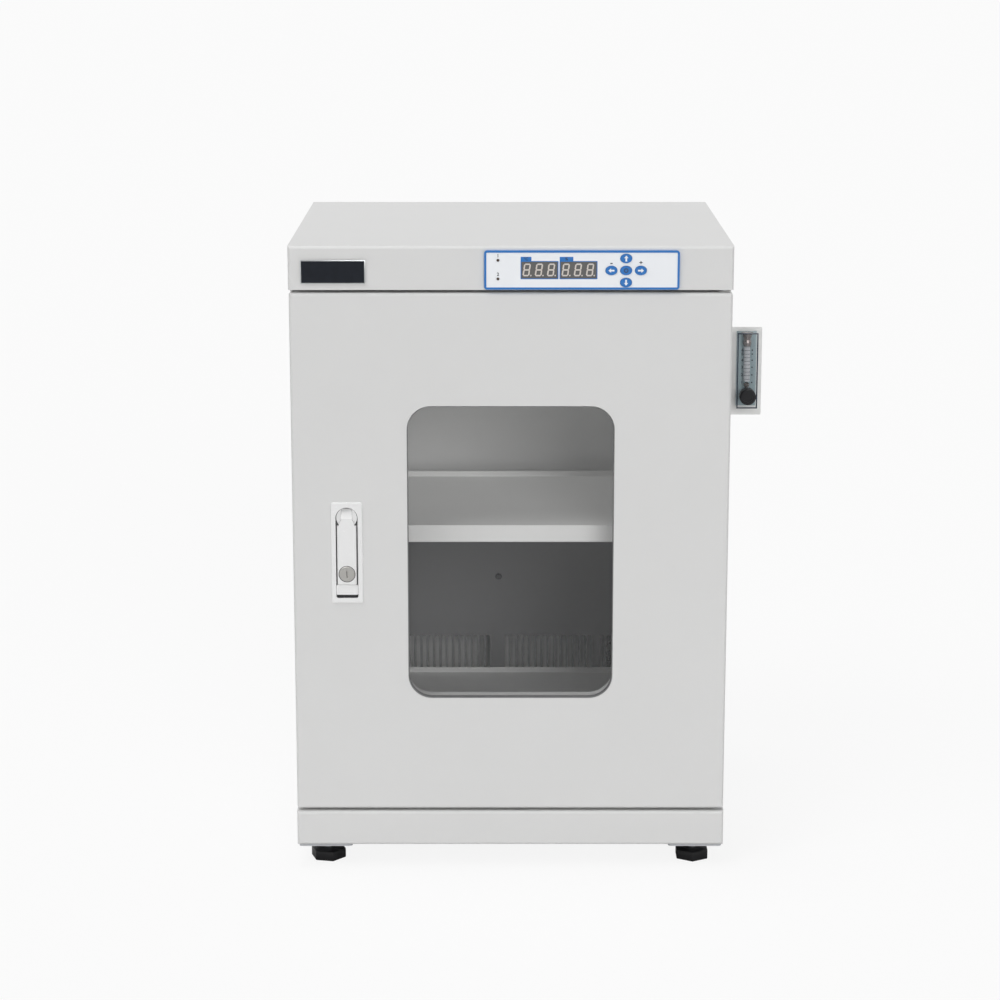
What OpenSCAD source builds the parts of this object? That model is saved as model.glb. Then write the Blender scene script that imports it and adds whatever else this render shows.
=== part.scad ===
// Desiccator cabinet: a bench-top dry cabinet of folded sheet steel with a glazed, lockable door,
// a digital panel, a purge flowmeter on its side and a regenerating drying unit at its back.
// Local frame of every module: x from the cabinet's middle, y as depth behind the door's face, z up.

/* [Cabinet] */
// Width of the cabinet body
cab_w = 455; // [430:1:520]
// Depth of the cabinet, from the door's face to the rear panel's outer face
cab_d = 400; // [385:1:480]
// Thickness of the folded steel sheet
sheet_t = 1.5; // [1:0.1:2]
// Outer radius of the folds in the sheet
fold_r = 3; // [2.4:0.1:4]
// Height of the levelling feet below the base
foot_h = 25; // [22:0.5:32]
// Height of the base plinth
plinth_h = 38; // [34:1:60]
// Height of the top cover with its front strip
cover_h = 45; // [44:0.5:60]
// Width of the folded lips that stiffen the sheets
lip_w = 16; // [14:0.5:18]
// Gap left between two sheets that only lie beside each other
sheet_gap = 0.3; // [0.2:0.05:0.5]

/* [Door] */
// Height of the door
door_h = 554; // [545:1:640]
// Thickness of the door
door_t = 26; // [24:0.5:30]
// Gap above and below the door
door_gap = 3; // [2.6:0.1:3.6]
// Space between the door's back and the frame, filled by the gasket
gasket_gap = 6; // [5.5:0.1:8]
// How far the door stops short of the cabinet's sides
door_side = 0.5; // [0.3:0.1:1.5]
// Width of the door window
window_w = 215; // [180:1:260]
// Height of the door window
window_h = 314; // [260:1:340]
// Corner radius of the door window
window_r = 25; // [15:1:40]
// Height of the window's lower edge above the door's lower edge
window_up = 122.5; // [110:0.5:150]
// Thickness of the glass
glass_t = 4; // [3:0.5:5]
// How far the glass reaches behind the door skin
glass_lap = 9; // [7:0.5:14]
// Thickness of the rubber lips on each side of the glass
seal_t = 1.4; // [1:0.1:2]
// How far the seal's lip shows inside the window
seal_show = 1; // [0.5:0.1:2]
// Width of the gasket's foot
gasket_w = 12; // [10:0.5:14]
// Distance from the door's edge to the gasket
gasket_in = 13; // [12:0.5:14]

/* [Door hinge] */
// Diameter of the hinge pins
pin_d = 8; // [6:0.5:9]
// Distance of the hinge pins from the cabinet's side
pin_in = 9; // [8.5:0.1:10]
// Distance of the hinge pins behind the door's face
pin_back = 16; // [15:0.1:17]
// Length of the hinge pins beyond their plates
pin_len = 14; // [10:0.5:20]
// Thickness of the hinge plates
leaf_t = 2; // [1.5:0.1:2.2]
// Radial running clearance of pins and shafts
run_gap = 0.05; // [0.02:0.01:0.09]

/* [Door frame] */
// Width of the frame round the chamber's mouth at the sides
rail_w = 28; // [26:0.5:34]
// Width of the frame at top and bottom
rail_h = 30; // [28:0.5:36]
// Depth of the frame's inner fold
rail_fold = 10; // [6:0.5:14]

/* [Door lock] */
// Distance of the lock's middle from the cabinet's middle
lock_x = 170.6; // [160:0.2:178]
// Height of the lock's middle above the door's lower edge
lock_up = 281; // [240:1:320]
// Width of the lock's escutcheon
lock_w = 33; // [32:0.5:36]
// Height of the lock's escutcheon
lock_h = 108; // [104:1:120]
// How far the escutcheon stands out of the door
lock_rim = 2; // [1:0.1:3]
// Width of the lock's recess
recess_w = 23; // [22:0.1:24]
// Depth of the recess behind the door's face
recess_d = 12; // [11:0.5:14]
// Thickness of the lock's lever
lever_t = 9.5; // [8:0.5:11]
// Width of the lever
lever_w = 20; // [18:0.1:21]
// Width of the lever's neck
neck_w = 11; // [9:0.5:12]
// Diameter of the key plug
plug_d = 16.4; // [14:0.1:17]
// Height of the push tab under the lever
tab_h = 10.6; // [9:0.2:13]
// Travel of the push tab
tab_travel = 2.5; // [1.5:0.1:3.5]
// Diameter of the cam shaft
cam_shaft_d = 10; // [8:0.5:12]
// Length of the cam from its shaft's axis to its tip
cam_len = 37; // [34:0.5:40]

/* [Shelves] */
// Height of the upper shelf's surface above the base
shelf_up_upper = 299; // [290:1:365]
// Height of the lower shelf's surface above the base
shelf_up_lower = 64; // [57:1:145]
// Space between the shelves' rear edges and the drying unit's cover
shelf_back_gap = 34; // [24:1:60]
// Distance of the shelves' front behind the door's face
shelf_front = 60; // [56:1:70]
// Height of the shelves' front lip
shelf_lip = 18.6; // [12:0.2:24]
// Height of the shelves' side and rear edges
shelf_edge = 6; // [3:0.5:10]
// Depth of the slotted shelf supports
strip_t = 5; // [4:0.5:6]
// Width of the slotted shelf supports
strip_w = 16; // [14:0.5:20]
// Spacing of the slots in the shelf supports
strip_pitch = 25; // [20:1:40]

/* [Drying unit] */
// Depth of the unit, from its cover's face to the cabinet's back
dryer_d = 60; // [58:1:72]
// Height of the unit's cover above the base
dryer_h = 283; // [250:1:290]
// Spacing of the air slots
slot_pitch = 7.5; // [7:0.1:9]
// Width of an air slot
slot_w = 4.6; // [3.5:0.1:5]
// Height of the air slots
slot_h = 46; // [30:1:60]
// Height of the slots' top above the base
slot_up = 99; // [85:1:115]
// Thickness of the shutter behind the slots
shutter_t = 1.2; // [0.8:0.1:1.5]
// Side of the fan's square frame
fan_size = 60; // [50:1:62]
// Depth of the fan
fan_t = 15; // [12:0.5:25]
// Number of fan blades
fan_blades = 7; // [5:1:9]

/* [Control panel] */
// Width of the panel
panel_w = 199; // [190:1:205]
// Height of the panel
panel_h = 40; // [38:0.5:41]
// Corner radius of the panel
panel_r = 3; // [2.8:0.1:5]
// How far the panel stands out of the front strip
panel_t = 3; // [2:0.1:4]
// Distance of the panel's middle from the cabinet's middle
panel_x = 72.4; // [60:0.2:80]
// Width of the blue border
border_w = 2.2; // [1.5:0.1:4]
// Width of a display window
display_w = 38; // [34:0.5:38.5]
// Height of a display window
display_h = 18; // [14:0.5:20]
// Width of a key
key_w = 11.9; // [10:0.1:12.5]
// Height of a key
key_h = 9.4; // [8:0.1:10]
// Spacing of the keys across
key_step_x = 15; // [14:0.1:16]
// Spacing of the keys up and down
key_step_z = 12.3; // [11:0.1:12.8]
// Travel of a key
key_travel = 0.4; // [0.2:0.05:0.6]
// Width of the name badge
badge_w = 66; // [40:1:80]
// Height of the name badge
badge_h = 24; // [15:0.5:26]
// Thickness of the name badge
badge_t = 1.5; // [1:0.1:3]

/* [Flowmeter] */
// Reach of the bracket beyond the cabinet's side
bracket_w = 36; // [35:0.5:46]
// Height of the bracket
bracket_h = 93; // [90:1:110]
// Thickness of the bracket
bracket_t = 2; // [1.5:0.1:3]
// Height of the bracket's lower edge above the base
bracket_up = 419; // [405:1:440]
// Distance of the bracket's plate behind the door's face
bracket_y = 60; // [58:1:80]
// Width of the meter's clear body
meter_w = 21.8; // [20:0.1:25]
// Height of the meter's clear body
meter_h = 80; // [78:1:82]
// Depth of the meter's clear body
meter_t = 16; // [15:0.5:22]
// Diameter of the meter's tube
tube_d = 7; // [5:0.5:9]
// Diameter of the valve knob
knob_d = 17; // [14:0.5:18]
// Length of the valve knob
knob_len = 13; // [10:0.5:14]
// Outer diameter of the gas pipes
pipe_d = 8; // [6:0.5:10]

/* [Feet] */
// Distance of the feet from the cabinet's sides
foot_in_x = 31; // [29:1:40]
// Distance of the front feet behind the door's face
foot_in_front = 34; // [30:1:60]
// Distance of the rear feet in front of the rear panel
foot_in_rear = 34; // [30:1:60]
// Width of a foot across its corners
foot_d = 38.5; // [30:0.5:42]
// Diameter of a foot's stud
stud_d = 8; // [6:1:10]
// Length of a foot's stud inside the base
stud_len = 28; // [20:1:32]

/* [Hidden] */
$fn = 48;

// Colours of the finishes
paint = "#dcdcda";
steel = "#b9bcc0";
black = "#1d1d20";
blue = "#2f6fc0";
white = "#f1f3f5";
graphite = "#5a5c5e";

// Planes of the body
eps = 0.01;
half_w = cab_w / 2;
base_top = foot_h + plinth_h;
door_z0 = base_top + door_gap;
door_z1 = door_z0 + door_h;
body_top = door_z1 + door_gap;
cab_h = body_top + cover_h;
frame_y = door_t + gasket_gap;
body_y = frame_y + sheet_t;
rear_y = cab_d - sheet_t;
fold_in = fold_r - sheet_t + 0.2;
door_half = half_w - door_side;
open_w = cab_w - 2 * rail_w;
open_z0 = base_top + rail_h;
open_z1 = body_top - rail_h;
dryer_front = cab_d - dryer_d;
dryer_top = base_top + dryer_h;
slot_top = base_top + slot_up;
lock_z = door_z0 + lock_up;
shelf_z_upper = base_top + shelf_up_upper;
shelf_z_lower = base_top + shelf_up_lower;

// Height that the screw heads stand out of the rear panel
screw_head = 2.4;
screw_d = 4;

// The origin lies under the middle of the whole object
key_proud = 0.6;
lever_front = -4.4;
front_reach = key_proud - lever_front;
mid_x = -bracket_w / 2;
face_y = (front_reach - screw_head) / 2 - cab_d / 2;

// Rounded rectangle about its middle, with true arcs
module rounded(w, h, r) {
    square([w - 2 * r, h], center = true);
    square([w, h - 2 * r], center = true);
    for (sx = [-1, 1], sy = [-1, 1])
        translate([sx * (w / 2 - r), sy * (h / 2 - r)]) circle(r = r);
}

// Rounded rectangle between two corners
module rounded_between(x0, x1, y0, y1, r)
    translate([(x0 + x1) / 2, (y0 + y1) / 2]) rounded(x1 - x0, y1 - y0, r);

// Folded channel that opens to +x: two lips of width w, a web of length l along y
module channel(w, l) {
    intersection() {
        square([w, l]);
        difference() {
            rounded_between(0, 3 * w, 0, l, fold_r);
            rounded_between(sheet_t, 4 * w, sheet_t, l - sheet_t, fold_in);
        }
    }
}

// A flat outline drawn in x and z, given thickness from depth y0 to y1
module along_y(y0, y1) translate([0, y1, 0]) rotate([90, 0, 0]) linear_extrude(y1 - y0) children();

// A section drawn in y and z, given length from x0 to x1
module along_x(x0, x1) translate([x0, 0, 0]) rotate([90, 0, 90]) linear_extrude(x1 - x0) children();

// A plan drawn in x and y, given height from z0 to z1
module along_z(z0, z1) translate([0, 0, z0]) linear_extrude(z1 - z0) children();

// A block between two corners
module block(x0, x1, y0, y1, z0, z1) translate([x0, y0, z0]) cube([x1 - x0, y1 - y0, z1 - z0]);

// A round bar along y
module bar_y(x, z, d, y0, y1) translate([x, y1, z]) rotate([90, 0, 0]) cylinder(d = d, h = y1 - y0);

// A round bar along x
module bar_x(y, z, d, x0, x1) translate([x0, y, z]) rotate([0, 90, 0]) cylinder(d = d, h = x1 - x0);

// Moves the local frame to the part's frame
module placed() translate([mid_x, face_y, 0]) children();

// The same thing on both sides of the cabinet's middle
module both_sides() {
    children();
    mirror([1, 0, 0]) children();
}

// ---- Body shell ----

module side_sheet() {
    along_z(base_top, body_top) translate([-half_w, body_y]) channel(lip_w, rear_y - body_y);
}

module side_panel_left() placed() color(paint) side_sheet();

module side_panel_right() placed() color(paint) {
    difference() {
        mirror([1, 0, 0]) side_sheet();
        bar_x(outlet_y, outlet_z, port_d, half_w - 2 * sheet_t, half_w + 1);
    }
}

// Outer back: vents for the drying unit's outside air and a cut-out for the power inlet
vent_rows = 2;
vent_count = 12;
vent_pitch = 12;
vent_h = 34;
vent_w = 4;
vent_z = base_top + 115;
module rear_panel() placed() color(paint) {
    difference() {
        along_y(rear_y, cab_d) rounded_between(-half_w, half_w, base_top, body_top, sheet_t);
        for (row = [0 : vent_rows - 1], i = [0 : vent_count - 1])
            along_y(rear_y - 1, cab_d + 1)
                translate([dryer_x + (i - (vent_count - 1) / 2) * vent_pitch, vent_z + row * (vent_h + 14)])
                    rounded(vent_w, vent_h, vent_w / 2 - eps);
        block(inlet_x - inlet_w / 2, inlet_x + inlet_w / 2, rear_y - 1, cab_d + 1,
            inlet_z - inlet_h / 2, inlet_z + inlet_h / 2);
        for (p = rear_screws) bar_y(p[0], p[1], screw_d + 0.4, rear_y - 1, cab_d + 1);
    }
}

// Chamber ceiling and floor: U-shaped sheets that fit between the side panels
inner_half = half_w - sheet_t - sheet_gap;
deck_y0 = body_y + sheet_t + sheet_gap;
deck_y1 = rear_y - sheet_t - sheet_gap;
deck_lip = 12;
module deck_section() {
    difference() {
        rounded_between(-inner_half, inner_half, 0, 3 * deck_lip, fold_r);
        rounded_between(-inner_half + sheet_t, inner_half - sheet_t, sheet_t, 4 * deck_lip, fold_in);
        translate([-inner_half - 1, deck_lip]) square([2 * inner_half + 2, 3 * deck_lip]);
    }
}

module floor_panel() placed() color(paint)
    along_y(deck_y0, deck_y1) translate([0, base_top]) deck_section();

module ceiling_panel() placed() color(paint)
    along_y(deck_y0, deck_y1) translate([0, body_top]) mirror([0, 1]) deck_section();

// Base: a folded tray, open below between its inward lips
module base_plinth() placed() color(paint) {
    difference() {
        intersection() {
            along_z(foot_h, base_top) rounded_between(-half_w, half_w, 0, cab_d, fold_r);
            along_x(-half_w, half_w) rounded_between(0, cab_d, foot_h, base_top, fold_r);
        }
        block(-half_w + sheet_t, half_w - sheet_t, sheet_t, cab_d - sheet_t, foot_h + sheet_t,
            base_top - sheet_t);
        block(-half_w + plate_w, half_w - plate_w, plate_w, cab_d - plate_w, foot_h - 1,
            foot_h + 2 * sheet_t);
        for (p = foot_places)
            translate([p[0], p[1], foot_h - 1]) cylinder(d = stud_d + 4, h = sheet_t + 2);
    }
}

// Top cover: a lid with a front strip for the panel, open below behind the frame
cover_lip = 12;
module top_cover() placed() color(paint) {
    difference() {
        intersection() {
            along_z(body_top, cab_h) rounded_between(-half_w, half_w, 0, cab_d, fold_r);
            along_x(-half_w, half_w) difference() {
                rounded_between(0, cab_d, body_top - cover_h, cab_h, fold_r);
                translate([-1, body_top - cover_h - 1]) square([cab_d + 2, cover_h + 1]);
            }
        }
        block(-half_w + sheet_t, half_w - sheet_t, sheet_t, cab_d - sheet_t, body_top + sheet_t,
            cab_h - sheet_t);
        block(-half_w + cover_lip, half_w - cover_lip, body_y + cover_lip, cab_d - cover_lip,
            body_top - 1, body_top + 2 * sheet_t);
        block(panel_x - board_w / 2, panel_x + board_w / 2, -1, sheet_t + 1,
            panel_z - board_h / 2, panel_z + board_h / 2);
    }
}

// Frame round the chamber's mouth, with a notch that lets the lock's cam in
frame_r = 6;
cam_notch = 52;
module door_frame() placed() color(paint) {
    difference() {
        union() {
            along_y(frame_y, body_y)
                rounded_between(-half_w, half_w, base_top, body_top, sheet_t);
            along_y(body_y - eps, body_y + rail_fold)
                rounded_between(-open_w / 2 - sheet_t, open_w / 2 + sheet_t, open_z0 - sheet_t,
                    open_z1 + sheet_t, frame_r + sheet_t);
        }
        along_y(frame_y - 1, body_y + rail_fold + 1)
            rounded_between(-open_w / 2, open_w / 2, open_z0, open_z1, frame_r);
        block(-open_w / 2 - 2 * sheet_t, -open_w / 2 + 1, body_y, body_y + rail_fold + 1,
            cam_z - cam_notch + 18, cam_z + 18);
    }
}

// ---- Feet ----

foot_x = half_w - foot_in_x;
foot_y0 = foot_in_front;
foot_y1 = cab_d - foot_in_rear;
foot_places = [[-foot_x, foot_y0], [foot_x, foot_y0], [-foot_x, foot_y1], [foot_x, foot_y1]];
plate_t = 2;
plate_w = 57;
plate_inset = 1.5;

// Nut plates under the base's corners
module foot_plates() placed() color(steel) {
    for (p = foot_places) {
        sx = sign(p[0]);
        x_out = sx * (half_w - plate_inset);
        x_in = x_out - sx * plate_w;
        y_out = p[1] < cab_d / 2 ? plate_inset : cab_d - plate_inset;
        y_in = p[1] < cab_d / 2 ? y_out + plate_w : y_out - plate_w;
        difference() {
            along_z(foot_h - plate_t, foot_h)
                rounded_between(min(x_out, x_in), max(x_out, x_in), min(y_out, y_in), max(y_out, y_in), 4);
            translate([p[0], p[1], foot_h - plate_t - 1]) cylinder(d = stud_d + 2 * run_gap, h = plate_t + 2);
        }
    }
}

// Levelling foot: six-sided pad with a bevelled rim, a locking nut and a stud
nut_h = 2.4;
foot_turns = [20, 6, 40, 25];
pad_low = 4.5;
pad_high = 2.4;
pad_slope = 4;
module levelling_foot(i) {
    p = foot_places[i];
    pad_top = foot_h - plate_t - sheet_gap - nut_h;
    round_d = foot_d + 1;
    translate([p[0], p[1], 0]) {
        color(black) {
            intersection() {
                rotate(foot_turns[i] - 90) cylinder(d = foot_d, h = pad_top, $fn = 6);
                union() {
                    cylinder(d1 = foot_d - 2 * pad_slope, d2 = round_d, h = pad_low);
                    translate([0, 0, pad_low]) cylinder(d = round_d, h = pad_top - pad_low - pad_high);
                    translate([0, 0, pad_top - pad_high])
                        cylinder(d1 = round_d, d2 = foot_d - 2 * pad_slope, h = pad_high);
                }
            }
        }
        color(steel) {
            translate([0, 0, pad_top]) cylinder(d = stud_d + 4, h = nut_h);
            translate([0, 0, pad_top - 4]) cylinder(d = stud_d, h = 4 + nut_h + stud_len);
        }
    }
}

module foot_front_left() placed() levelling_foot(0);
module foot_front_right() placed() levelling_foot(1);
module foot_rear_left() placed() levelling_foot(2);
module foot_rear_right() placed() levelling_foot(3);

// ---- Door hinge ----

pin_x = half_w - pin_in;
leaf_side = 6.5;
leaf_tab = 22;

// Angle plate with a pin, drawn with its foot's mating face at z = 0 and its pin upwards
module pin_leaf() {
    linear_extrude(leaf_t) {
        translate([pin_x, pin_back]) circle(r = leaf_side);
        translate([pin_x - leaf_side, pin_back]) square([2 * leaf_side, frame_y - pin_back]);
    }
    difference() {
        block(pin_x - leaf_side / 2, pin_x + leaf_side, frame_y - leaf_t, frame_y, 0, leaf_tab);
        bar_y(pin_x + 1.6, leaf_tab - 7, screw_d + 0.2, frame_y - leaf_t - 1, frame_y + 1);
    }
    translate([pin_x, pin_back, 0]) {
        cylinder(d = pin_d, h = leaf_t + pin_len - 1);
        translate([0, 0, leaf_t + pin_len - 1]) cylinder(d1 = pin_d, d2 = pin_d - 2, h = 1);
    }
}

module hinge_bottom() placed() color(steel) translate([0, 0, base_top]) pin_leaf();
module hinge_top() placed() color(steel) translate([0, 0, body_top]) mirror([0, 0, 1]) pin_leaf();

// Flanged nylon bushes pressed into the door's ends
bush_wall = 2;
bush_flange = 0.7;
bush_len = pin_len - 1;
module bush() {
    difference() {
        union() {
            cylinder(d = pin_d + 2 * bush_wall, h = bush_len);
            translate([0, 0, -bush_flange]) cylinder(d = pin_d + 2 * bush_wall + 2.4, h = bush_flange);
        }
        translate([0, 0, -bush_flange - 1]) cylinder(d = pin_d + 2 * run_gap, h = bush_len + 5);
    }
}

module hinge_bushes() placed() color(white) {
    translate([pin_x, pin_back, door_z0]) bush();
    translate([pin_x, pin_back, door_z1]) mirror([0, 0, 1]) bush();
}

// ---- Door ----

win_z0 = door_z0 + window_up;
win_z1 = win_z0 + window_h;
win_z = (win_z0 + win_z1) / 2;
reveal_gap = 1;
seal_wrap = 3;

module window_shape(grow)
    translate([0, win_z]) rounded(window_w + 2 * grow, window_h + 2 * grow, window_r + grow);

module door_block(shrink, y1) {
    w = door_half - shrink;
    r = fold_r - shrink;
    intersection() {
        along_y(shrink, y1) rounded_between(-w, w, door_z0 + shrink, door_z1 - shrink, max(r, 1.5));
        along_z(door_z0 + shrink, door_z1 - shrink) rounded_between(-w, w, shrink, 2 * door_t, max(r, 1.5));
        along_x(-w, w) rounded_between(shrink, 2 * door_t, door_z0 + shrink, door_z1 - shrink, max(r, 1.5));
    }
}

// Outer pan of the door, pressed from one sheet
module door_skin() placed() color(paint) {
    difference() {
        door_block(0, door_t);
        door_block(sheet_t, door_t + 1);
        along_y(-1, 2 * sheet_t) window_shape(0);
        along_y(-1, 2 * sheet_t)
            translate([-lock_x, lock_z]) rounded(lock_body_w + 2 * sheet_gap, lock_body_h + 2 * sheet_gap, 3);
        translate([pin_x, pin_back, door_z0 - 1]) cylinder(d = pin_d + 2 * bush_wall, h = door_h + 2);
    }
}

// Inner pan of the door: a sheet whose window edges fold forward to the glass
liner_half = door_half - sheet_t - sheet_gap;
liner_y = door_t - sheet_t;
seal_y1 = sheet_t + 2 * seal_t + glass_t;
module door_liner() placed() color(paint) {
    difference() {
        union() {
            along_y(liner_y, door_t)
                rounded_between(-liner_half, liner_half, door_z0 + sheet_t + sheet_gap,
                    door_z1 - sheet_t - sheet_gap, 2);
            along_y(seal_y1, liner_y + eps) window_shape(reveal_gap + sheet_t);
        }
        along_y(seal_y1 - 1, door_t + 1) window_shape(reveal_gap);
        bar_y(-lock_x, cam_z, cam_shaft_d + 4, liner_y - 1, door_t + 1);
    }
}

module window_glass() placed() color("#7d858c", 0.45)
    along_y(sheet_t + seal_t, sheet_t + seal_t + glass_t) window_shape(glass_lap);

// Rubber channel that holds the glass against the skin
module window_seal() placed() color(black) {
    difference() {
        along_y(sheet_t, seal_y1) window_shape(glass_lap + seal_wrap);
        along_y(sheet_t + seal_t, sheet_t + seal_t + glass_t) window_shape(glass_lap);
        along_y(0, seal_y1 + 1) window_shape(-seal_show);
    }
}

// Magnetic gasket: foot, waist and magnet head
gasket_clear = 0.3;
module gasket_ring(w, y0, y1) {
    side = gasket_in + (gasket_w - w) / 2;
    along_y(y0, y1) difference() {
        rounded_between(-half_w + side, half_w - side, door_z0 + side - gasket_in + gasket_edge,
            door_z1 - side + gasket_in - gasket_edge, 8);
        rounded_between(-half_w + side + w, half_w - side - w, door_z0 + side + w - gasket_in + gasket_edge,
            door_z1 - side - w + gasket_in - gasket_edge, 8 - w / 2);
    }
}

gasket_edge = 7;
module door_gasket() placed() color("#8e9092") {
    gasket_ring(gasket_w, door_t, door_t + 1.6);
    gasket_ring(gasket_w - 6, door_t + 1.6, door_t + gasket_gap - 2.6);
    gasket_ring(gasket_w - 1.5, door_t + gasket_gap - 2.6, door_t + gasket_gap - gasket_clear);
}

// ---- Door lock ----

lock_body_w = lock_w - 5;
lock_body_h = lock_h - 5;
lock_back = recess_d + 2.5;
recess_h = lock_h - 11;
recess_z0 = lock_z - recess_h / 2;
recess_z1 = lock_z + recess_h / 2;
slide_gap = 0.3;
barrel_r = 3.5;
pivot_rise = 6;
pivot_y = 5;
lever_back = lever_front + lever_t;
tab_z0 = recess_z0 + 3.7;
tab_z1 = tab_z0 + tab_h;
lever_z0 = tab_z1 + slide_gap;
cam_z = recess_z1 - recess_w / 2;
pivot_z = cam_z + pivot_rise;
plug_z = lever_z0 + 11.8;
rotor_d = recess_w - 2 * slide_gap;
rotor_floor = 2.4;
rotor_front = 0.3;

// Dished housing with a round-topped recess
module recess_shape(grow) {
    w = recess_w + 2 * grow;
    r_low = 2;
    difference() {
        translate([-lock_x, 0]) {
            translate([-w / 2, recess_z0 - grow]) square([w, recess_h + 2 * grow - w / 2]);
            translate([0, recess_z1 + grow - w / 2]) circle(d = w);
        }
        for (sx = [-1, 1])
            translate([-lock_x + sx * (w / 2), recess_z0 - grow]) difference() {
                square(2 * r_low, center = true);
                translate([-sx * r_low, r_low]) circle(r = r_low);
                translate([-sx * r_low, 2 * r_low]) square(2 * r_low, center = true);
                translate([-sx * 2 * r_low, r_low]) square(2 * r_low, center = true);
            }
    }
}

// Rim with rounded edges that lies on the door's face
module escutcheon() {
    rim_r = 1.2;
    intersection() {
        along_y(-lock_rim, 0) translate([-lock_x, lock_z]) rounded(lock_w, lock_h, 2.5);
        along_z(lock_z - lock_h, lock_z + lock_h)
            rounded_between(-lock_x - lock_w / 2, -lock_x + lock_w / 2, -lock_rim, 3 * lock_rim, rim_r);
        along_x(-lock_x - lock_w, -lock_x + lock_w)
            rounded_between(-lock_rim, 3 * lock_rim, lock_z - lock_h / 2, lock_z + lock_h / 2, rim_r);
    }
}

module lock_housing() placed() color(white) {
    difference() {
        union() {
            escutcheon();
            along_y(-eps, lock_back) translate([-lock_x, lock_z]) rounded(lock_body_w, lock_body_h, 2.5);
        }
        along_y(-lock_rim - 1, recess_d) recess_shape(0);
        bar_y(-lock_x, cam_z, cam_shaft_d + 2 * run_gap, recess_d - 1, lock_back + 1);
    }
}

// Drum with a slot for the lever's neck and a hole for its pin
ear_gap = 0.25;
lever_pin_d = 3;
pin_half = sqrt(pow(rotor_d / 2, 2) - pow(pivot_rise + lever_pin_d / 2, 2)) - 0.3;
module lock_rotor() placed() color(steel) {
    difference() {
        bar_y(-lock_x, cam_z, rotor_d, rotor_front, recess_d);
        block(-lock_x - neck_w / 2 - ear_gap, -lock_x + neck_w / 2 + ear_gap, rotor_front - 1,
            recess_d - rotor_floor, cam_z - rotor_d, cam_z + rotor_d);
        bar_x(pivot_y, pivot_z, lever_pin_d, -lock_x - rotor_d, -lock_x + rotor_d);
    }
}

module lever_pin() placed() color(steel)
    bar_x(pivot_y, pivot_z, lever_pin_d, -lock_x - pin_half, -lock_x + pin_half);

// Lever: a thick grip, thin round shoulders that lie over the drum, and a neck that slopes to the pin
neck_z = cam_z;
neck_flare = 0.5;
shoulder_h = 7.5;
shoulder_z = cam_z - rotor_d / 2 - 2;
thin_back = rotor_front - 0.5;
module lever_outline() {
    w = lever_w / 2;
    n = neck_w / 2 + neck_flare;
    low = neck_z - shoulder_h;
    shoulder_r = (pow(w - n, 2) + pow(shoulder_h, 2)) / (2 * (w - n));
    r_foot = 2;
    translate([-lock_x, 0]) {
        translate([-w, lever_z0 + r_foot]) square([2 * w, low - lever_z0 - r_foot]);
        translate([-w + r_foot, lever_z0]) square([2 * w - 2 * r_foot, r_foot + eps]);
        for (sx = [-1, 1]) translate([sx * (w - r_foot), lever_z0 + r_foot]) circle(r = r_foot);
        intersection() {
            translate([w - shoulder_r, low]) circle(r = shoulder_r);
            translate([shoulder_r - w, low]) circle(r = shoulder_r);
            translate([-w, low - eps]) square([2 * w, shoulder_h + eps]);
        }
    }
}

module lever_body() {
    edge_r = 1.5;
    intersection() {
        along_y(lever_front - 1, lever_back + 1) lever_outline();
        along_z(lever_z0 - 1, neck_z + 1)
            rounded_between(-lock_x - lever_w / 2, -lock_x + lever_w / 2, lever_front, lever_back, edge_r);
        along_x(-lock_x - lever_w, -lock_x + lever_w) {
            rounded_between(lever_front, lever_back, lever_z0, shoulder_z, edge_r);
            translate([lever_front, lever_z0 + edge_r])
                square([thin_back - lever_front, neck_z - lever_z0 - edge_r]);
        }
    }
}

module neck_section() {
    reach = barrel_r * 0.8;
    translate([pivot_y, pivot_z]) circle(r = barrel_r);
    polygon([[lever_front, shoulder_z - 2], [lever_front, neck_z],
        [pivot_y - reach, pivot_z + barrel_r * 0.6], [pivot_y, pivot_z],
        [pivot_y + barrel_r, pivot_z], [lever_back, shoulder_z - 2]]);
}

module lever_neck() {
    n = neck_w / 2;
    flare_h = 5;
    along_x(-lock_x - n, -lock_x + n) neck_section();
    intersection() {
        along_x(-lock_x - lever_w, -lock_x + lever_w) neck_section();
        along_y(lever_front, thin_back) translate([-lock_x, 0])
            polygon([[-n - neck_flare, neck_z - 1], [n + neck_flare, neck_z - 1], [n, neck_z + flare_h],
                [-n, neck_z + flare_h]]);
    }
}

module lock_lever() placed() color(white) {
    difference() {
        union() {
            lever_body();
            lever_neck();
        }
        bar_x(pivot_y, pivot_z, lever_pin_d + 2 * run_gap, -lock_x - lever_w, -lock_x + lever_w);
        bar_y(-lock_x, plug_z, plug_d + 2 * run_gap, lever_front - 1, lever_back + 1);
        bar_y(-lock_x, plug_z, plug_d + 2 * ring_w, lever_front - 1, lever_front + ring_depth);
    }
}

// Key plug with a bevelled rim and its slot, in a ring-shaped groove of the lever
ring_w = 0.6;
ring_depth = 0.6;
key_slot_w = 1.2;
key_slot_h = 7;
module key_plug() placed() color(steel) {
    bevel = 0.5;
    slot_depth = 4;
    face = lever_front - key_proud;
    difference() {
        union() {
            bar_y(-lock_x, plug_z, plug_d, face + bevel, lever_back - 0.5);
            translate([-lock_x, face + bevel, plug_z]) rotate([90, 0, 0])
                cylinder(d1 = plug_d, d2 = plug_d - 2 * bevel, h = bevel);
        }
        block(-lock_x - key_slot_w / 2, -lock_x + key_slot_w / 2, face - 1, lever_front + slot_depth,
            plug_z - key_slot_h / 2, plug_z + key_slot_h / 2);
    }
}

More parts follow.
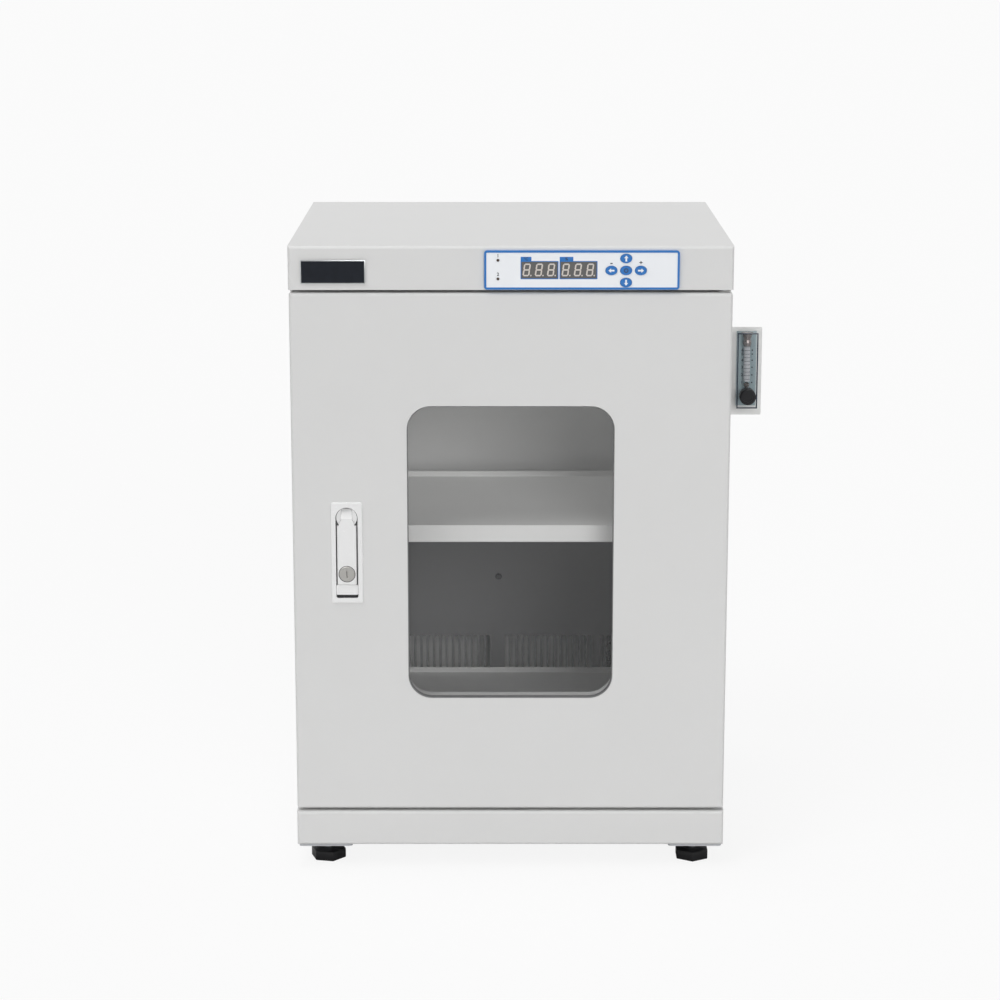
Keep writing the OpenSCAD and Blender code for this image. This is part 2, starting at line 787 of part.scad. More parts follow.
// Push tab that lets the lever spring out
tab_front = -2.6;
module push_tab() placed() color(white) {
    w = recess_w - 2 * slide_gap;
    difference() {
        along_y(tab_front, recess_d - tab_travel - 0.6)
            rounded_between(-lock_x - w / 2, -lock_x + w / 2, tab_z0, tab_z1, 1.2);
        along_y(tab_front - 1, tab_front + 0.5)
            rounded_between(-lock_x - w / 2 + 2, -lock_x + w / 2 - 2, tab_z0 + 2, tab_z1 - 2, 0.9);
    }
}

// Cam: shaft through the housing, square boss, nut and a hooked arm behind the frame
cam_t = 3;
cam_gap = 2;
cam_y = body_y + cam_gap;
cam_arm_w = 16;
module lock_cam() placed() color(steel) {
    bar_y(-lock_x, cam_z, cam_shaft_d, recess_d + sheet_gap, cam_y + cam_t);
    bar_y(-lock_x, cam_z, cam_shaft_d + 6, lock_back + sheet_gap, lock_back + 3);
    along_y(cam_y, cam_y + cam_t) {
        translate([-lock_x, cam_z]) circle(d = cam_arm_w + 4);
        translate([-lock_x - cam_arm_w / 2, cam_z - cam_len + 3]) square([cam_arm_w, cam_len - 3]);
        rounded_between(-lock_x - cam_arm_w / 2, -lock_x + cam_arm_w / 2, cam_z - cam_len, cam_z, 3);
    }
    translate([-lock_x, cam_y + cam_t + 4, cam_z]) rotate([90, 0, 0]) cylinder(d = 13, h = 4, $fn = 6);
}

// ---- Shelves ----

strip_face = half_w - sheet_t - strip_t;
shelf_half = strip_face - 0.7;
shelf_back = dryer_front - shelf_back_gap;
strip_in_front = 46;
strip_in_back = 26;
strip_y = [shelf_front + strip_in_front, shelf_back - strip_in_back];
strip_z0 = base_top + deck_lip + 8;
strip_z1 = body_top - deck_lip - 8;
strip_slots = floor((strip_z1 - strip_z0 - 20) / strip_pitch) + 1;

// Tray with a deep front lip and low edges on its other sides
module shelf(z) {
    difference() {
        union() {
            intersection() {
                along_z(z - shelf_lip, z + shelf_edge)
                    rounded_between(-shelf_half, shelf_half, shelf_front, shelf_back, 2);
                along_x(-shelf_half, shelf_half) difference() {
                    union() {
                        rounded_between(shelf_front, shelf_back, z - sheet_t, z + shelf_edge, sheet_t / 2);
                        rounded_between(shelf_front, shelf_front + 12, z - shelf_lip, z, 1.6);
                    }
                    rounded_between(shelf_front + sheet_t, shelf_front + 18, z - shelf_lip + sheet_t,
                        z - sheet_t, 0.7);
                    translate([shelf_front - 1, z]) square([shelf_edge + 1, shelf_edge + 1]);
                }
            }
        }
        block(-shelf_half + sheet_t, shelf_half - sheet_t, shelf_front - 1, shelf_back - sheet_t,
            z, z + shelf_edge + 1);
    }
}

module shelf_upper() placed() color(paint) shelf(shelf_z_upper);
module shelf_lower() placed() color(paint) shelf(shelf_z_lower);

// Slotted strips on the side walls
strip_slot_w = 5;
strip_slot_h = 10;
module strip_at(y) {
    difference() {
        block(-half_w + sheet_t, -strip_face, y - strip_w / 2, y + strip_w / 2, strip_z0, strip_z1);
        block(-half_w + sheet_t - 1, -strip_face - sheet_t, y - strip_w / 2 + sheet_t,
            y + strip_w / 2 - sheet_t, strip_z0 - 1, strip_z1 + 1);
        for (i = [0 : strip_slots - 1])
            block(-strip_face - 2 * sheet_t, -strip_face + 1, y - strip_slot_w / 2, y + strip_slot_w / 2,
                strip_z0 + 6 + i * strip_pitch, strip_z0 + 6 + i * strip_pitch + strip_slot_h);
    }
}

module shelf_pilasters() placed() color(steel) both_sides() for (y = strip_y) strip_at(y);

// Clips hooked into the strips under each shelf
clip_reach = 14;
clip_w = 12;
clip_h = 12;
clip_t = 1.5;
module clip_at(y, z) {
    top = z - sheet_t;
    along_y(y - clip_w / 2, y + clip_w / 2) {
        translate([-strip_face, top - clip_t]) square([clip_reach, clip_t]);
        translate([-strip_face, top - clip_h]) square([clip_t, clip_h]);
        polygon([[-strip_face, top - clip_h], [-strip_face + clip_t, top - clip_h],
            [-strip_face + clip_reach - 2, top - clip_t], [-strip_face + clip_reach - 4, top - clip_t]]);
    }
}

module shelf_clips() placed() color(steel)
    both_sides() for (y = strip_y, z = [shelf_z_upper, shelf_z_lower]) clip_at(y, z);

// ---- Drying unit ----

dryer_x = -10;
dryer_half = inner_half - 0.4;
slot_runs = [for (i = [0 : 38]) if (i != 13 && i != 14 && i != 29) i];
slot_first = -115.2;
slot_mid = slot_top - slot_h / 2;

module slot_row(shift) {
    for (i = slot_runs)
        translate([slot_first + i * slot_pitch + shift, slot_mid]) rounded(slot_w, slot_h, slot_w / 2 - eps);
}

// Cover of the unit: slotted front, top that runs back to the rear panel, short side lips
module dryer_cover() placed() color(graphite) {
    z0 = base_top + sheet_t + sheet_gap;
    corner_x = inner_half - sheet_t - fold_in - sheet_gap;
    difference() {
        union() {
            along_y(dryer_front, dryer_front + sheet_t)
                rounded_between(-dryer_half, dryer_half, z0, dryer_top, 1);
            along_x(-dryer_half, dryer_half)
                translate([dryer_front, dryer_top - sheet_t]) square([deck_y1 - dryer_front, sheet_t]);
            for (x = [-dryer_half, dryer_half - sheet_t])
                block(x, x + sheet_t, dryer_front, dryer_front + 14, z0 + deck_lip + 2, dryer_top);
        }
        along_y(dryer_front - 1, dryer_front + sheet_t + 1) slot_row(0);
        for (p = cover_screws) bar_y(p[0], p[1], screw_d + 0.4, dryer_front - 1, dryer_front + sheet_t + 1);
        both_sides()
            block(corner_x, inner_half + 1, dryer_front - 1, dryer_front + sheet_t + 1, z0 - 1,
                base_top + deck_lip + sheet_gap);
    }
}

// Sheet-metal housing on the rear panel that holds the cassette over the heater
dry_half = 106;
dry_z0 = base_top + 113;
dry_z1 = base_top + 237;
dry_front = dryer_front + 8;
module drying_housing() placed() color(steel) {
    difference() {
        block(dryer_x - dry_half, dryer_x + dry_half, dry_front, rear_y - sheet_gap, dry_z0, dry_z1);
        block(dryer_x - dry_half + sheet_t, dryer_x + dry_half - sheet_t, dry_front - 1,
            rear_y - sheet_gap - sheet_t, dry_z0 + sheet_t, dry_z1 - sheet_t);
        for (row = [0 : vent_rows - 1], i = [0 : vent_count - 1])
            along_y(rear_y - 4, rear_y + 1)
                translate([dryer_x + (i - (vent_count - 1) / 2) * vent_pitch, vent_z + row * (vent_h + 14)])
                    rounded(vent_w, vent_h, vent_w / 2 - eps);
    }
}

// Heater: plate with upright fins under the cassette
fin_count = 16;
fin_h = 14;
cass_half = dry_half - sheet_t - 3;
cass_y0 = dry_front + 4;
cass_y1 = rear_y - sheet_gap - sheet_t - 4;
module heater_plate() placed() color(steel) {
    z = dry_z0 + sheet_t;
    block(dryer_x - cass_half, dryer_x + cass_half, cass_y0, cass_y1, z, z + 3);
    for (i = [0 : fin_count - 1])
        block(dryer_x - cass_half + i * (2 * cass_half - 2) / (fin_count - 1),
            dryer_x - cass_half + i * (2 * cass_half - 2) / (fin_count - 1) + 2, cass_y0, cass_y1,
            z + 3 - eps, z + 3 + fin_h);
}

// Cassette of desiccant beads with a window grid front and back
grid_cols = 8;
grid_rows = 4;
module desiccant_cassette() placed() color(white) {
    z0 = dry_z0 + sheet_t + 3 + fin_h + sheet_gap;
    z1 = dry_z1 - sheet_t - 2;
    cell_w = (2 * cass_half - 6) / grid_cols;
    cell_h = (z1 - z0 - 6) / grid_rows;
    difference() {
        block(dryer_x - cass_half, dryer_x + cass_half, cass_y0, cass_y1, z0, z1);
        for (c = [0 : grid_cols - 1], r = [0 : grid_rows - 1], y = [cass_y0 - 1, cass_y1 - 2])
            block(dryer_x - cass_half + 4 + c * cell_w, dryer_x - cass_half + 2 + (c + 1) * cell_w, y, y + 3,
                z0 + 4 + r * cell_h, z0 + 2 + (r + 1) * cell_h);
    }
}

// Shutter: a slotted slide behind the cover's slots, and the solenoid that shifts it half a pitch
shutter_gap = 0.3;
shutter_y = dryer_front + sheet_t + shutter_gap;
shutter_end = 12;
shutter_x0 = slot_first - shutter_end;
shutter_x1 = slot_first + 28 * slot_pitch + 9;
rod_d = 5;
rod_back = 13;
rod_reach = 24;
rod_y = shutter_y + shutter_t + rod_back;
sol_len = 36;
sol_d = 22;
sol_h = 24;
sol_gap = 14;
sol_x1 = shutter_x0 - sol_gap;
module shutter_slide() placed() color(graphite) {
    difference() {
        along_y(shutter_y, shutter_y + shutter_t)
            rounded_between(shutter_x0, shutter_x1, slot_top - slot_h - 8, slot_top + 8, 2);
        intersection() {
            along_y(shutter_y - 1, shutter_y + shutter_t + 1) slot_row(0);
            block(shutter_x0, shutter_x1 - 3, 0, cab_d, 0, cab_h);
        }
    }
    block(shutter_x0, shutter_x0 + 3, shutter_y, rod_y + rod_d, slot_mid - 6, slot_mid + 6);
    bar_x(rod_y, slot_mid, rod_d, shutter_x0 - rod_reach, shutter_x0 + eps);
}

module shutter_solenoid() placed() color(steel) {
    difference() {
        block(sol_x1 - sol_len, sol_x1, rod_y - sol_d / 2, rod_y + sol_d / 2, slot_mid - sol_h / 2,
            slot_mid + sol_h / 2);
        bar_x(rod_y, slot_mid, rod_d + 0.6, sol_x1 - sol_len * 2 / 3, sol_x1 + 1);
    }
    block(sol_x1 - sol_len * 5 / 6, sol_x1 - sol_len / 6, rod_y + sol_d / 2 - eps, rear_y - sheet_gap,
        slot_mid - sol_h * 0.4, slot_mid + sol_h * 0.4);
}

// Fan behind the last run of slots
fan_x = 142;
fan_z = slot_mid;
fan_y = dryer_front + sheet_t + 3;
rotor_gap = 1;
hub_d = 22;
fan_bore = fan_size - 5;
module fan_frame() placed() color(black) {
    difference() {
        along_y(fan_y, fan_y + fan_t) translate([fan_x, fan_z]) rounded(fan_size, fan_size, 4);
        bar_y(fan_x, fan_z, fan_bore, fan_y - 1, fan_y + fan_t - 2);
        for (sx = [-1, 1], sz = [-1, 1])
            bar_y(fan_x + sx * (fan_size / 2 - 5), fan_z + sz * (fan_size / 2 - 5), 4.2, fan_y - 1,
                fan_y + fan_t + 1);
        along_y(fan_y, fan_y + fan_t + 1) difference() {
            translate([fan_x, fan_z]) circle(d = fan_bore);
            translate([fan_x, fan_z]) circle(d = hub_d + 4);
            for (a = [0, 120, 240])
                translate([fan_x, fan_z]) rotate(a) translate([0, -1.5]) square([fan_size, 3]);
        }
    }
    difference() {
        bar_y(fan_x, fan_z, 6, fan_y + fan_t - 7, fan_y + fan_t - 1);
        bar_y(fan_x, fan_z, 3 + 2 * run_gap, fan_y + fan_t - 8, fan_y + fan_t - 2);
    }
    for (sx = [-1, 1])
        block(fan_x + sx * (fan_size / 2 - 5) - 3, fan_x + sx * (fan_size / 2 - 5) + 3, fan_y + fan_t - eps,
            rear_y - sheet_gap, fan_z - fan_size / 2, fan_z - fan_size / 2 + 10);
}

// Rotor with pitched blades on a cup hub, and its spindle
module fan_rotor() placed() color(black) {
    blade_r = fan_bore / 2 - rotor_gap;
    y1 = fan_y + fan_t - 4.5;
    difference() {
        bar_y(fan_x, fan_z, hub_d, fan_y + 1, y1);
        bar_y(fan_x, fan_z, hub_d - 4, fan_y + 3, y1 + 1);
    }
    bar_y(fan_x, fan_z, 3, fan_y + 3 - eps, fan_y + fan_t - 2.5);
    intersection() {
        difference() {
            bar_y(fan_x, fan_z, 2 * blade_r, fan_y + 1, y1);
            bar_y(fan_x, fan_z, hub_d - 1, fan_y, y1 + 1);
        }
        for (i = [0 : fan_blades - 1])
            translate([fan_x, (fan_y + 1 + y1) / 2, fan_z]) rotate([0, i * 360 / fan_blades, 0])
                rotate([0, 0, 35]) translate([-7, -0.7, 0]) cube([14, 1.4, blade_r + 2]);
    }
}

// Humidity and temperature probe on the unit's cover
probe_x = 160;
probe_z = base_top + 235;
probe_d = 16;
module sensor_probe() placed() color(white) {
    y_mid = dryer_front - 14;
    difference() {
        union() {
            bar_y(probe_x, probe_z, probe_d + 6, dryer_front - 3, dryer_front);
            bar_y(probe_x, probe_z, probe_d, y_mid, dryer_front - 3 + eps);
            translate([probe_x, y_mid, probe_z]) rotate([90, 0, 0])
                cylinder(d1 = probe_d, d2 = probe_d - 6, h = 4);
        }
        for (a = [0, 60, 120])
            translate([probe_x, dryer_front - 9, probe_z]) rotate([0, a, 0])
                cube([1.6, 8, 2 * probe_d], center = true);
    }
    bar_y(probe_x, probe_z, probe_d - 5, y_mid, dryer_front - 3);
}

// ---- Control panel ----

panel_z = body_top + panel_h / 2 + 0.8;
face_front = -panel_t + 0.4;
face_w = panel_w - 2 * border_w;
face_h = panel_h - 2 * border_w;
face_r = max(panel_r - border_w, 0.6);
board_margin = 11.5;
board_w = panel_w - 2 * board_margin;
board_h = panel_h - 10;
board_y = 12;
board_t = 1.6;
display_y = -panel_t + 0.6;
display_in = 56.3;
display_step = 39.7;
display_x = [for (i = [0, 1]) panel_x - panel_w / 2 + display_in + i * display_step];
display_z = panel_z;
keys_in = 54.5;
keys_x = panel_x + panel_w / 2 - keys_in;
keys_z = panel_z - 0.4;
lamp_x = panel_x - panel_w / 2 + 14;
lamp_z = [panel_z + 10, panel_z - 9];
lamp_d = 3;
key_clear = 0.3;
key_front = face_front - 0.8;
key_back = -0.6;
key_places = [[0, key_step_z], [0, -key_step_z], [-key_step_x, 0], [key_step_x, 0], [0, 0]];

module panel_bezel() placed() color(blue)
    along_y(-panel_t, 0) translate([panel_x, panel_z]) difference() {
        rounded(panel_w, panel_h, panel_r);
        rounded(face_w, face_h, face_r);
    }

// Oval of four arcs: small circles at its ends, joined above and below by two large ones
module key_oval(grow) {
    a = key_w / 2 + grow;
    b = key_h / 2 + grow;
    r = b - 0.6;
    c = a - r;
    sink = (c * c - pow(b - r, 2)) / (2 * (b - r));
    big_r = b + sink;
    join_x = big_r * c / (big_r - r);
    for (sx = [-1, 1]) translate([sx * c, 0]) circle(r = r);
    intersection() {
        translate([0, -sink]) circle(r = big_r);
        translate([0, sink]) circle(r = big_r);
        square([2 * join_x, 2 * b], center = true);
    }
}

module panel_face() placed() color(white) {
    difference() {
        along_y(face_front, 0) translate([panel_x, panel_z]) rounded(face_w, face_h, face_r);
        for (x = display_x)
            along_y(-panel_t - 1, 1)
                translate([x, display_z]) square([display_w + 0.2, display_h + 0.2], center = true);
        for (p = key_places)
            along_y(-panel_t - 1, 1) translate([keys_x + p[0], keys_z + p[1]]) key_oval(key_clear);
        for (z = lamp_z) bar_y(lamp_x, z, lamp_d + 0.2, -panel_t - 1, 1);
    }
}

// Two digit modules that stand on the board and fill the face's windows
module digit_displays() placed() color("#4b4f56") {
    for (x = display_x) difference() {
        along_y(display_y, board_y) translate([x, display_z]) square([display_w, display_h], center = true);
        along_y(display_y - 1, display_y + 0.4)
            translate([x, display_z]) square([display_w - 2, display_h - 2], center = true);
    }
}

module status_lamps() placed() color("#8c9a86") {
    for (z = lamp_z) {
        bar_y(lamp_x, z, lamp_d, face_front - 0.1, board_y);
        translate([lamp_x, face_front - 0.1, z]) scale([1, 0.4, 1]) sphere(d = lamp_d);
    }
}

// Board behind the panel on four pillars, with a switch under each key
chip_w = 30;
chip_h = 16;
chip_t = 3;
relay_t = 9;
switch_w = 6;
switch_t = 4;
pillar_d = 5;
plunger_d = 3.5;
module control_board() placed() color("#2d6b4a") {
    block(panel_x - board_w / 2 - 6, panel_x + board_w / 2 + 6, board_y, board_y + board_t,
        panel_z - board_h / 2 - 3, panel_z + board_h / 2 + 2);
    for (sx = [-1, 1], sz = [-1, 1])
        bar_y(panel_x + sx * (board_w / 2 + pillar_d / 2 + 0.5), panel_z + sz * (board_h / 2 - pillar_d),
            pillar_d, sheet_t, board_y + eps);
    for (p = key_places) {
        bar_y(keys_x + p[0], keys_z + p[1], plunger_d, key_back + key_travel + 0.1, board_y + eps);
        block(keys_x + p[0] - switch_w / 2, keys_x + p[0] + switch_w / 2, board_y - switch_t, board_y + eps,
            keys_z + p[1] - switch_w / 2, keys_z + p[1] + switch_w / 2);
    }
    for (chip = [[-board_w * 0.26, relay_t], [board_w * 0.14, chip_t]])
        block(panel_x + chip[0] - chip_w / 2, panel_x + chip[0] + chip_w / 2, board_y + board_t - eps,
            board_y + board_t + chip[1], panel_z - chip_h / 2, panel_z + chip_h / 2);
}

// Open-frame power supply on the ceiling, with a cooling grille in its lid
psu_x0 = -160;
psu_x1 = -50;
psu_y0 = 260;
psu_y1 = 338;
psu_h = 32;
module power_supply() placed() color(steel) {
    difference() {
        block(psu_x0, psu_x1, psu_y0, psu_y1, body_top, body_top + psu_h);
        for (i = [0 : 8])
            block(psu_x0 + 14 + i * 10, psu_x0 + 18 + i * 10, psu_y0 + 12, psu_y1 - 12, body_top + psu_h - 3,
                body_top + psu_h + 1);
    }
}

// Domed key cap
module key_cap(i) {
    p = key_places[i];
    color(blue) along_y(key_front, key_back) translate([keys_x + p[0], keys_z + p[1]]) key_oval(0);
}

module key_up() placed() key_cap(0);
module key_down() placed() key_cap(1);
module key_left() placed() key_cap(2);
module key_right() placed() key_cap(3);
module key_set() placed() key_cap(4);

// Plain badge on the front strip
badge_x = -181.5;
badge_z = body_top + 18.6;
module name_badge() placed() color(black)
    along_y(-badge_t, 0) translate([badge_x, badge_z]) rounded(badge_w, badge_h, 1.2);

// ---- Flowmeter ----

bracket_x1 = half_w + bracket_w;
bracket_z = base_top + bracket_up;
bracket_z1 = bracket_z + bracket_h;
bracket_r = 1;
bracket_leg = 40;
meter_x = bracket_x1 - 16.2;
meter_z0 = bracket_z + 9.5;
meter_z1 = meter_z0 + meter_h;
meter_y0 = bracket_y - meter_t;
valve_z = meter_z0 + 14.3;
tube_z0 = meter_z0 + 19;
tube_z1 = meter_z1 - 9;
port_d = pipe_d + 2 * sheet_gap;
inlet_gas_z = meter_z0 + 6.5;
outlet_z = meter_z1 - 6;
outlet_y = bracket_y + bracket_t + 16;

// Angle bracket on the cabinet's side
module meter_bracket() placed() color(paint) {
    difference() {
        intersection() {
            along_z(bracket_z, bracket_z1) difference() {
                rounded_between(half_w, half_w + 3 * bracket_w, bracket_y, bracket_y + 3 * bracket_leg,
                    fold_r);
                rounded_between(half_w + bracket_t, half_w + 4 * bracket_w, bracket_y + bracket_t,
                    bracket_y + 4 * bracket_leg, fold_r - bracket_t + 0.6);
            }
            block(half_w, bracket_x1, bracket_y, bracket_y + bracket_leg, bracket_z, bracket_z1);
            along_y(0, cab_d) rounded_between(half_w - 20, bracket_x1, bracket_z, bracket_z1, bracket_r);
        }
        for (z = [inlet_gas_z, outlet_z]) bar_y(meter_x, z, port_d, bracket_y - 1, bracket_y + bracket_t + 1);
        bar_x(outlet_y, outlet_z, port_d + 6, half_w - 1, half_w + bracket_t + 1);
        for (p = bracket_screws) bar_x(p[0], p[1], screw_d + 0.4, half_w - 1, half_w + bracket_t + 1);
    }
}

// Clear block bored for the tube, the valve and the ports
module meter_body() placed() color("#b9cbdc", 0.7) {
    difference() {
        along_y(meter_y0, bracket_y)
            rounded_between(meter_x - meter_w / 2, meter_x + meter_w / 2, meter_z0, meter_z1, 1.5);
        translate([meter_x, meter_y0 + meter_t / 2, tube_z0])
            cylinder(d1 = tube_d, d2 = tube_d + 1.2, h = tube_z1 - tube_z0);
        bar_y(meter_x, valve_z, stem_d + 2 * run_gap, meter_y0 - 1, meter_y0 + stem_len + 2);
        along_y(meter_y0 - 1, meter_y0 + 2)
            rounded_between(meter_x - tube_d / 2 - 1, meter_x + tube_d / 2 + 1, tube_z0 + 2, tube_z1 - 2, 2);
        for (z = [inlet_gas_z, outlet_z]) bar_y(meter_x, z, 4, bracket_y - 6, bracket_y + 1);
    }
}

// Float resting on its seat
module meter_float() placed() color(black) {
    translate([meter_x, meter_y0 + meter_t / 2, tube_z0 + 0.3]) {
        cylinder(d1 = 2.4, d2 = tube_d - 1, h = 4);
        translate([0, 0, 4]) cylinder(d = tube_d - 1, h = 2);
        translate([0, 0, 6]) cylinder(d1 = tube_d - 1, d2 = 2, h = 1.5);
    }
}

// Knurled valve knob with its stem
stem_d = 5;
stem_len = 10;
knob_y0 = meter_y0 - 0.4 - knob_len;
module meter_knob() placed() color(black) {
    difference() {
        translate([meter_x, meter_y0 - 0.4, valve_z]) rotate([90, 0, 0]) {
            cylinder(d = knob_d, h = knob_len - 1.5);
            translate([0, 0, knob_len - 1.5]) cylinder(d1 = knob_d, d2 = knob_d - 3, h = 1.5);
        }
        for (a = [0 : 20 : 359])
            translate([meter_x, 0, valve_z]) rotate([0, a, 0]) translate([knob_d / 2 + 0.5, 0, 0])
                bar_y(0, 0, 2, knob_y0 + 3, meter_y0);
        bar_y(meter_x, valve_z, knob_d - 7, knob_y0 - 1, knob_y0 + 1);
    }
    bar_y(meter_x, valve_z, stem_d, meter_y0 - 0.4 - eps, meter_y0 + stem_len);
}

// Gas pipes: a barbed inlet below and an elbow into the chamber above
pipe_bore = pipe_d / 2;
pipe_nut_d = pipe_d + 6;
pipe_nut_t = 5;
lock_nut_t = 4;
barb_len = 4;
barbs = 3;
pipe_inside = 16;
module gas_fittings() placed() color("#c9a25a") {
    back = bracket_y + bracket_t;
    neck = back + 2 * pipe_nut_t;
    difference() {
        union() {
            bar_y(meter_x, inlet_gas_z, pipe_d, bracket_y, neck);
            translate([meter_x, back, inlet_gas_z]) rotate([-90, 0, 0])
                cylinder(d = pipe_nut_d, h = pipe_nut_t, $fn = 6);
            for (i = [0 : barbs - 1])
                translate([meter_x, neck + barb_len * i - eps, inlet_gas_z]) rotate([-90, 0, 0])
                    cylinder(d1 = pipe_d, d2 = pipe_d - 2, h = barb_len + eps);
        }
        bar_y(meter_x, inlet_gas_z, pipe_bore, bracket_y - 1, neck + (barbs + 1) * barb_len);
    }
    difference() {
        union() {
            bar_y(meter_x, outlet_z, pipe_d, bracket_y, outlet_y);
            translate([meter_x, back, outlet_z]) rotate([-90, 0, 0])
                cylinder(d = pipe_nut_d, h = pipe_nut_t, $fn = 6);
            translate([meter_x, outlet_y, outlet_z]) sphere(d = pipe_d);
            bar_x(outlet_y, outlet_z, pipe_d, half_w - sheet_t - pipe_inside, meter_x);
            translate([half_w, outlet_y, outlet_z]) rotate([0, 90, 0])
                cylinder(d = pipe_nut_d, h = pipe_nut_t, $fn = 6);
            translate([half_w - sheet_t - lock_nut_t, outlet_y, outlet_z]) rotate([0, 90, 0])
                cylinder(d = pipe_nut_d - 1, h = lock_nut_t, $fn = 6);
        }
        bar_y(meter_x, outlet_z, pipe_bore, bracket_y - 1, outlet_y);
        bar_x(outlet_y, outlet_z, pipe_bore, half_w - sheet_t - 2 * pipe_inside, meter_x);
    }
}

// Power inlet socket in the rear panel
inlet_x = -180;
inlet_z = base_top + 53;
inlet_w = 28;
inlet_h = 21;
ear_w = 11;
inlet_flange_w = inlet_w + 2 * ear_w;
inlet_flange_h = inlet_h + 5;
inlet_d = 24;
socket_w = 23;
socket_h = 15.6;
socket_d = 16;
pin_step = 7;
module power_inlet() placed() color(black) {
    difference() {
        union() {
            along_y(cab_d, cab_d + 2)
                translate([inlet_x, inlet_z]) rounded(inlet_flange_w, inlet_flange_h, 5);
            along_y(cab_d - inlet_d, cab_d + eps)
                translate([inlet_x, inlet_z]) rounded(inlet_w - 2 * sheet_gap, inlet_h - 2 * sheet_gap, 3);
        }
        along_y(cab_d - socket_d, cab_d + 3) translate([inlet_x, inlet_z]) rounded(socket_w, socket_h, 3);
    }
    for (p = [[0, 3], [-pin_step, -2], [pin_step, -2]])
        block(inlet_x + p[0] - 1, inlet_x + p[0] + 1, cab_d - socket_d - 1, cab_d - 3, inlet_z + p[1] - 2,
            inlet_z + p[1] + 2);
}

// ---- Fasteners ----

rear_screw_in = 20;
rear_screws = [for (sx = [-1, 1], z = [base_top + rear_screw_in, (base_top + body_top) / 2,
    body_top - rear_screw_in]) [sx * (half_w - 9), z]];
cover_screw_x = 200;
cover_screw_mid_x = -12.7;
cover_screw_low = base_top + 170.6;
cover_screws = [[cover_screw_mid_x, cover_screw_low], [-cover_screw_x, cover_screw_low],
    [cover_screw_x, cover_screw_low], [-cover_screw_x, dryer_top - 18], [cover_screw_x, dryer_top - 18]];
bracket_screw_y = bracket_y + 28;
bracket_screw_low = 22;
bracket_screw_high = 34;
bracket_screws = [[bracket_screw_y, bracket_z + bracket_screw_low],
    [bracket_screw_y, bracket_z1 - bracket_screw_high]];

// Pan-head screw along -y, its head's seat at y = 0
module screw(len) {
    rotate([90, 0, 0]) cylinder(d1 = 8, d2 = 5.6, h = screw_head);
    rotate([-90, 0, 0]) cylinder(d = screw_d, h = len);
}

module case_screws() placed() color(steel) {
    for (p = rear_screws) translate([p[0], cab_d, p[1]]) rotate([0, 0, 180]) screw(sheet_t);
    for (p = cover_screws) translate([p[0], dryer_front, p[1]]) screw(8);
    for (p = bracket_screws) translate([half_w + bracket_t, p[0], p[1]]) rotate([0, 0, 90]) screw(bracket_t);
}

side_panel_left();
side_panel_right();
rear_panel();
ceiling_panel();
floor_panel();
base_plinth();
top_cover();
door_frame();
foot_plates();
hinge_top();
hinge_bottom();
shelf_upper();
shelf_lower();
shelf_pilasters();
shelf_clips();
dryer_cover();
drying_housing();
desiccant_cassette();
heater_plate();
shutter_slide();
shutter_solenoid();
fan_frame();
fan_rotor();
sensor_probe();
name_badge();
panel_bezel();
panel_face();
digit_displays();
status_lamps();
control_board();
power_supply();
key_up();
key_down();
key_left();
key_right();
key_set();
meter_bracket();
meter_body();
meter_float();
meter_knob();
gas_fittings();
power_inlet();
foot_front_left();
foot_front_right();
foot_rear_left();
foot_rear_right();
door_skin();
door_liner();
window_glass();
window_seal();
door_gasket();
hinge_bushes();
lock_housing();
lock_rotor();
lock_lever();
lever_pin();
key_plug();
push_tab();
lock_cam();
case_screws();
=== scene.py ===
import math

import bmesh
import bpy
from mathutils import Matrix, Vector


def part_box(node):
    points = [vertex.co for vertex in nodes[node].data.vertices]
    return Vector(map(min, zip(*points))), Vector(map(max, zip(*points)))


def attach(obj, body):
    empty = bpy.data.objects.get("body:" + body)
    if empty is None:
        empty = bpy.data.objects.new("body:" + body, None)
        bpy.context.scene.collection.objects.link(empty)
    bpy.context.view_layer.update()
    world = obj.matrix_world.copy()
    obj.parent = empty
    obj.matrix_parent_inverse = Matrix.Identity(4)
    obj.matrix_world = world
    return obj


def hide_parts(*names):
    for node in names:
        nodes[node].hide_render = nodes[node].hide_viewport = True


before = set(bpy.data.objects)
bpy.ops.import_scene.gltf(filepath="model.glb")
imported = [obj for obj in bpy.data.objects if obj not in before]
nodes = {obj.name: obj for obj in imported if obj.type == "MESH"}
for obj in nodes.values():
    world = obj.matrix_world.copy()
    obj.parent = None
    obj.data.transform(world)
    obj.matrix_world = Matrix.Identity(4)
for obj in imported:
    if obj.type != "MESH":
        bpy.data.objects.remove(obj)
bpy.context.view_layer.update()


# ---- Powder-coated sheet steel ----
# The body, door, shelves and flowmeter bracket are folded sheet, sprayed with off-white powder.
# The coat cures to a fine orange-peel skin. The chamber's sheets and the flowmeter bracket get a lighter
# copy of it: painted light that makes up for the dim light inside the chamber and the shade beside the
# cabinet.

def grain_group():
    """Fine bumps and a slow drift of tone, shared by all the finishes."""
    group = bpy.data.node_groups.new("surface_grain", "ShaderNodeTree")
    group.interface.new_socket("Vector", in_out="INPUT", socket_type="NodeSocketVector")
    for name, value in (("Scale", 900.0), ("Drift", 9.0)):
        socket = group.interface.new_socket(name, in_out="INPUT", socket_type="NodeSocketFloat")
        socket.default_value = value
    for name in ("Height", "Tone"):
        group.interface.new_socket(name, in_out="OUTPUT", socket_type="NodeSocketFloat")
    enter = group.nodes.new("NodeGroupInput")
    leave = group.nodes.new("NodeGroupOutput")
    for name, scale, detail in (("Height", "Scale", 2.0), ("Tone", "Drift", 4.0)):
        noise = group.nodes.new("ShaderNodeTexNoise")
        noise.inputs["Detail"].default_value = detail
        group.links.new(enter.outputs["Vector"], noise.inputs["Vector"])
        group.links.new(enter.outputs[scale], noise.inputs["Scale"])
        group.links.new(noise.outputs["Fac"], leave.inputs[name])
    return group


surface_grain = grain_group()


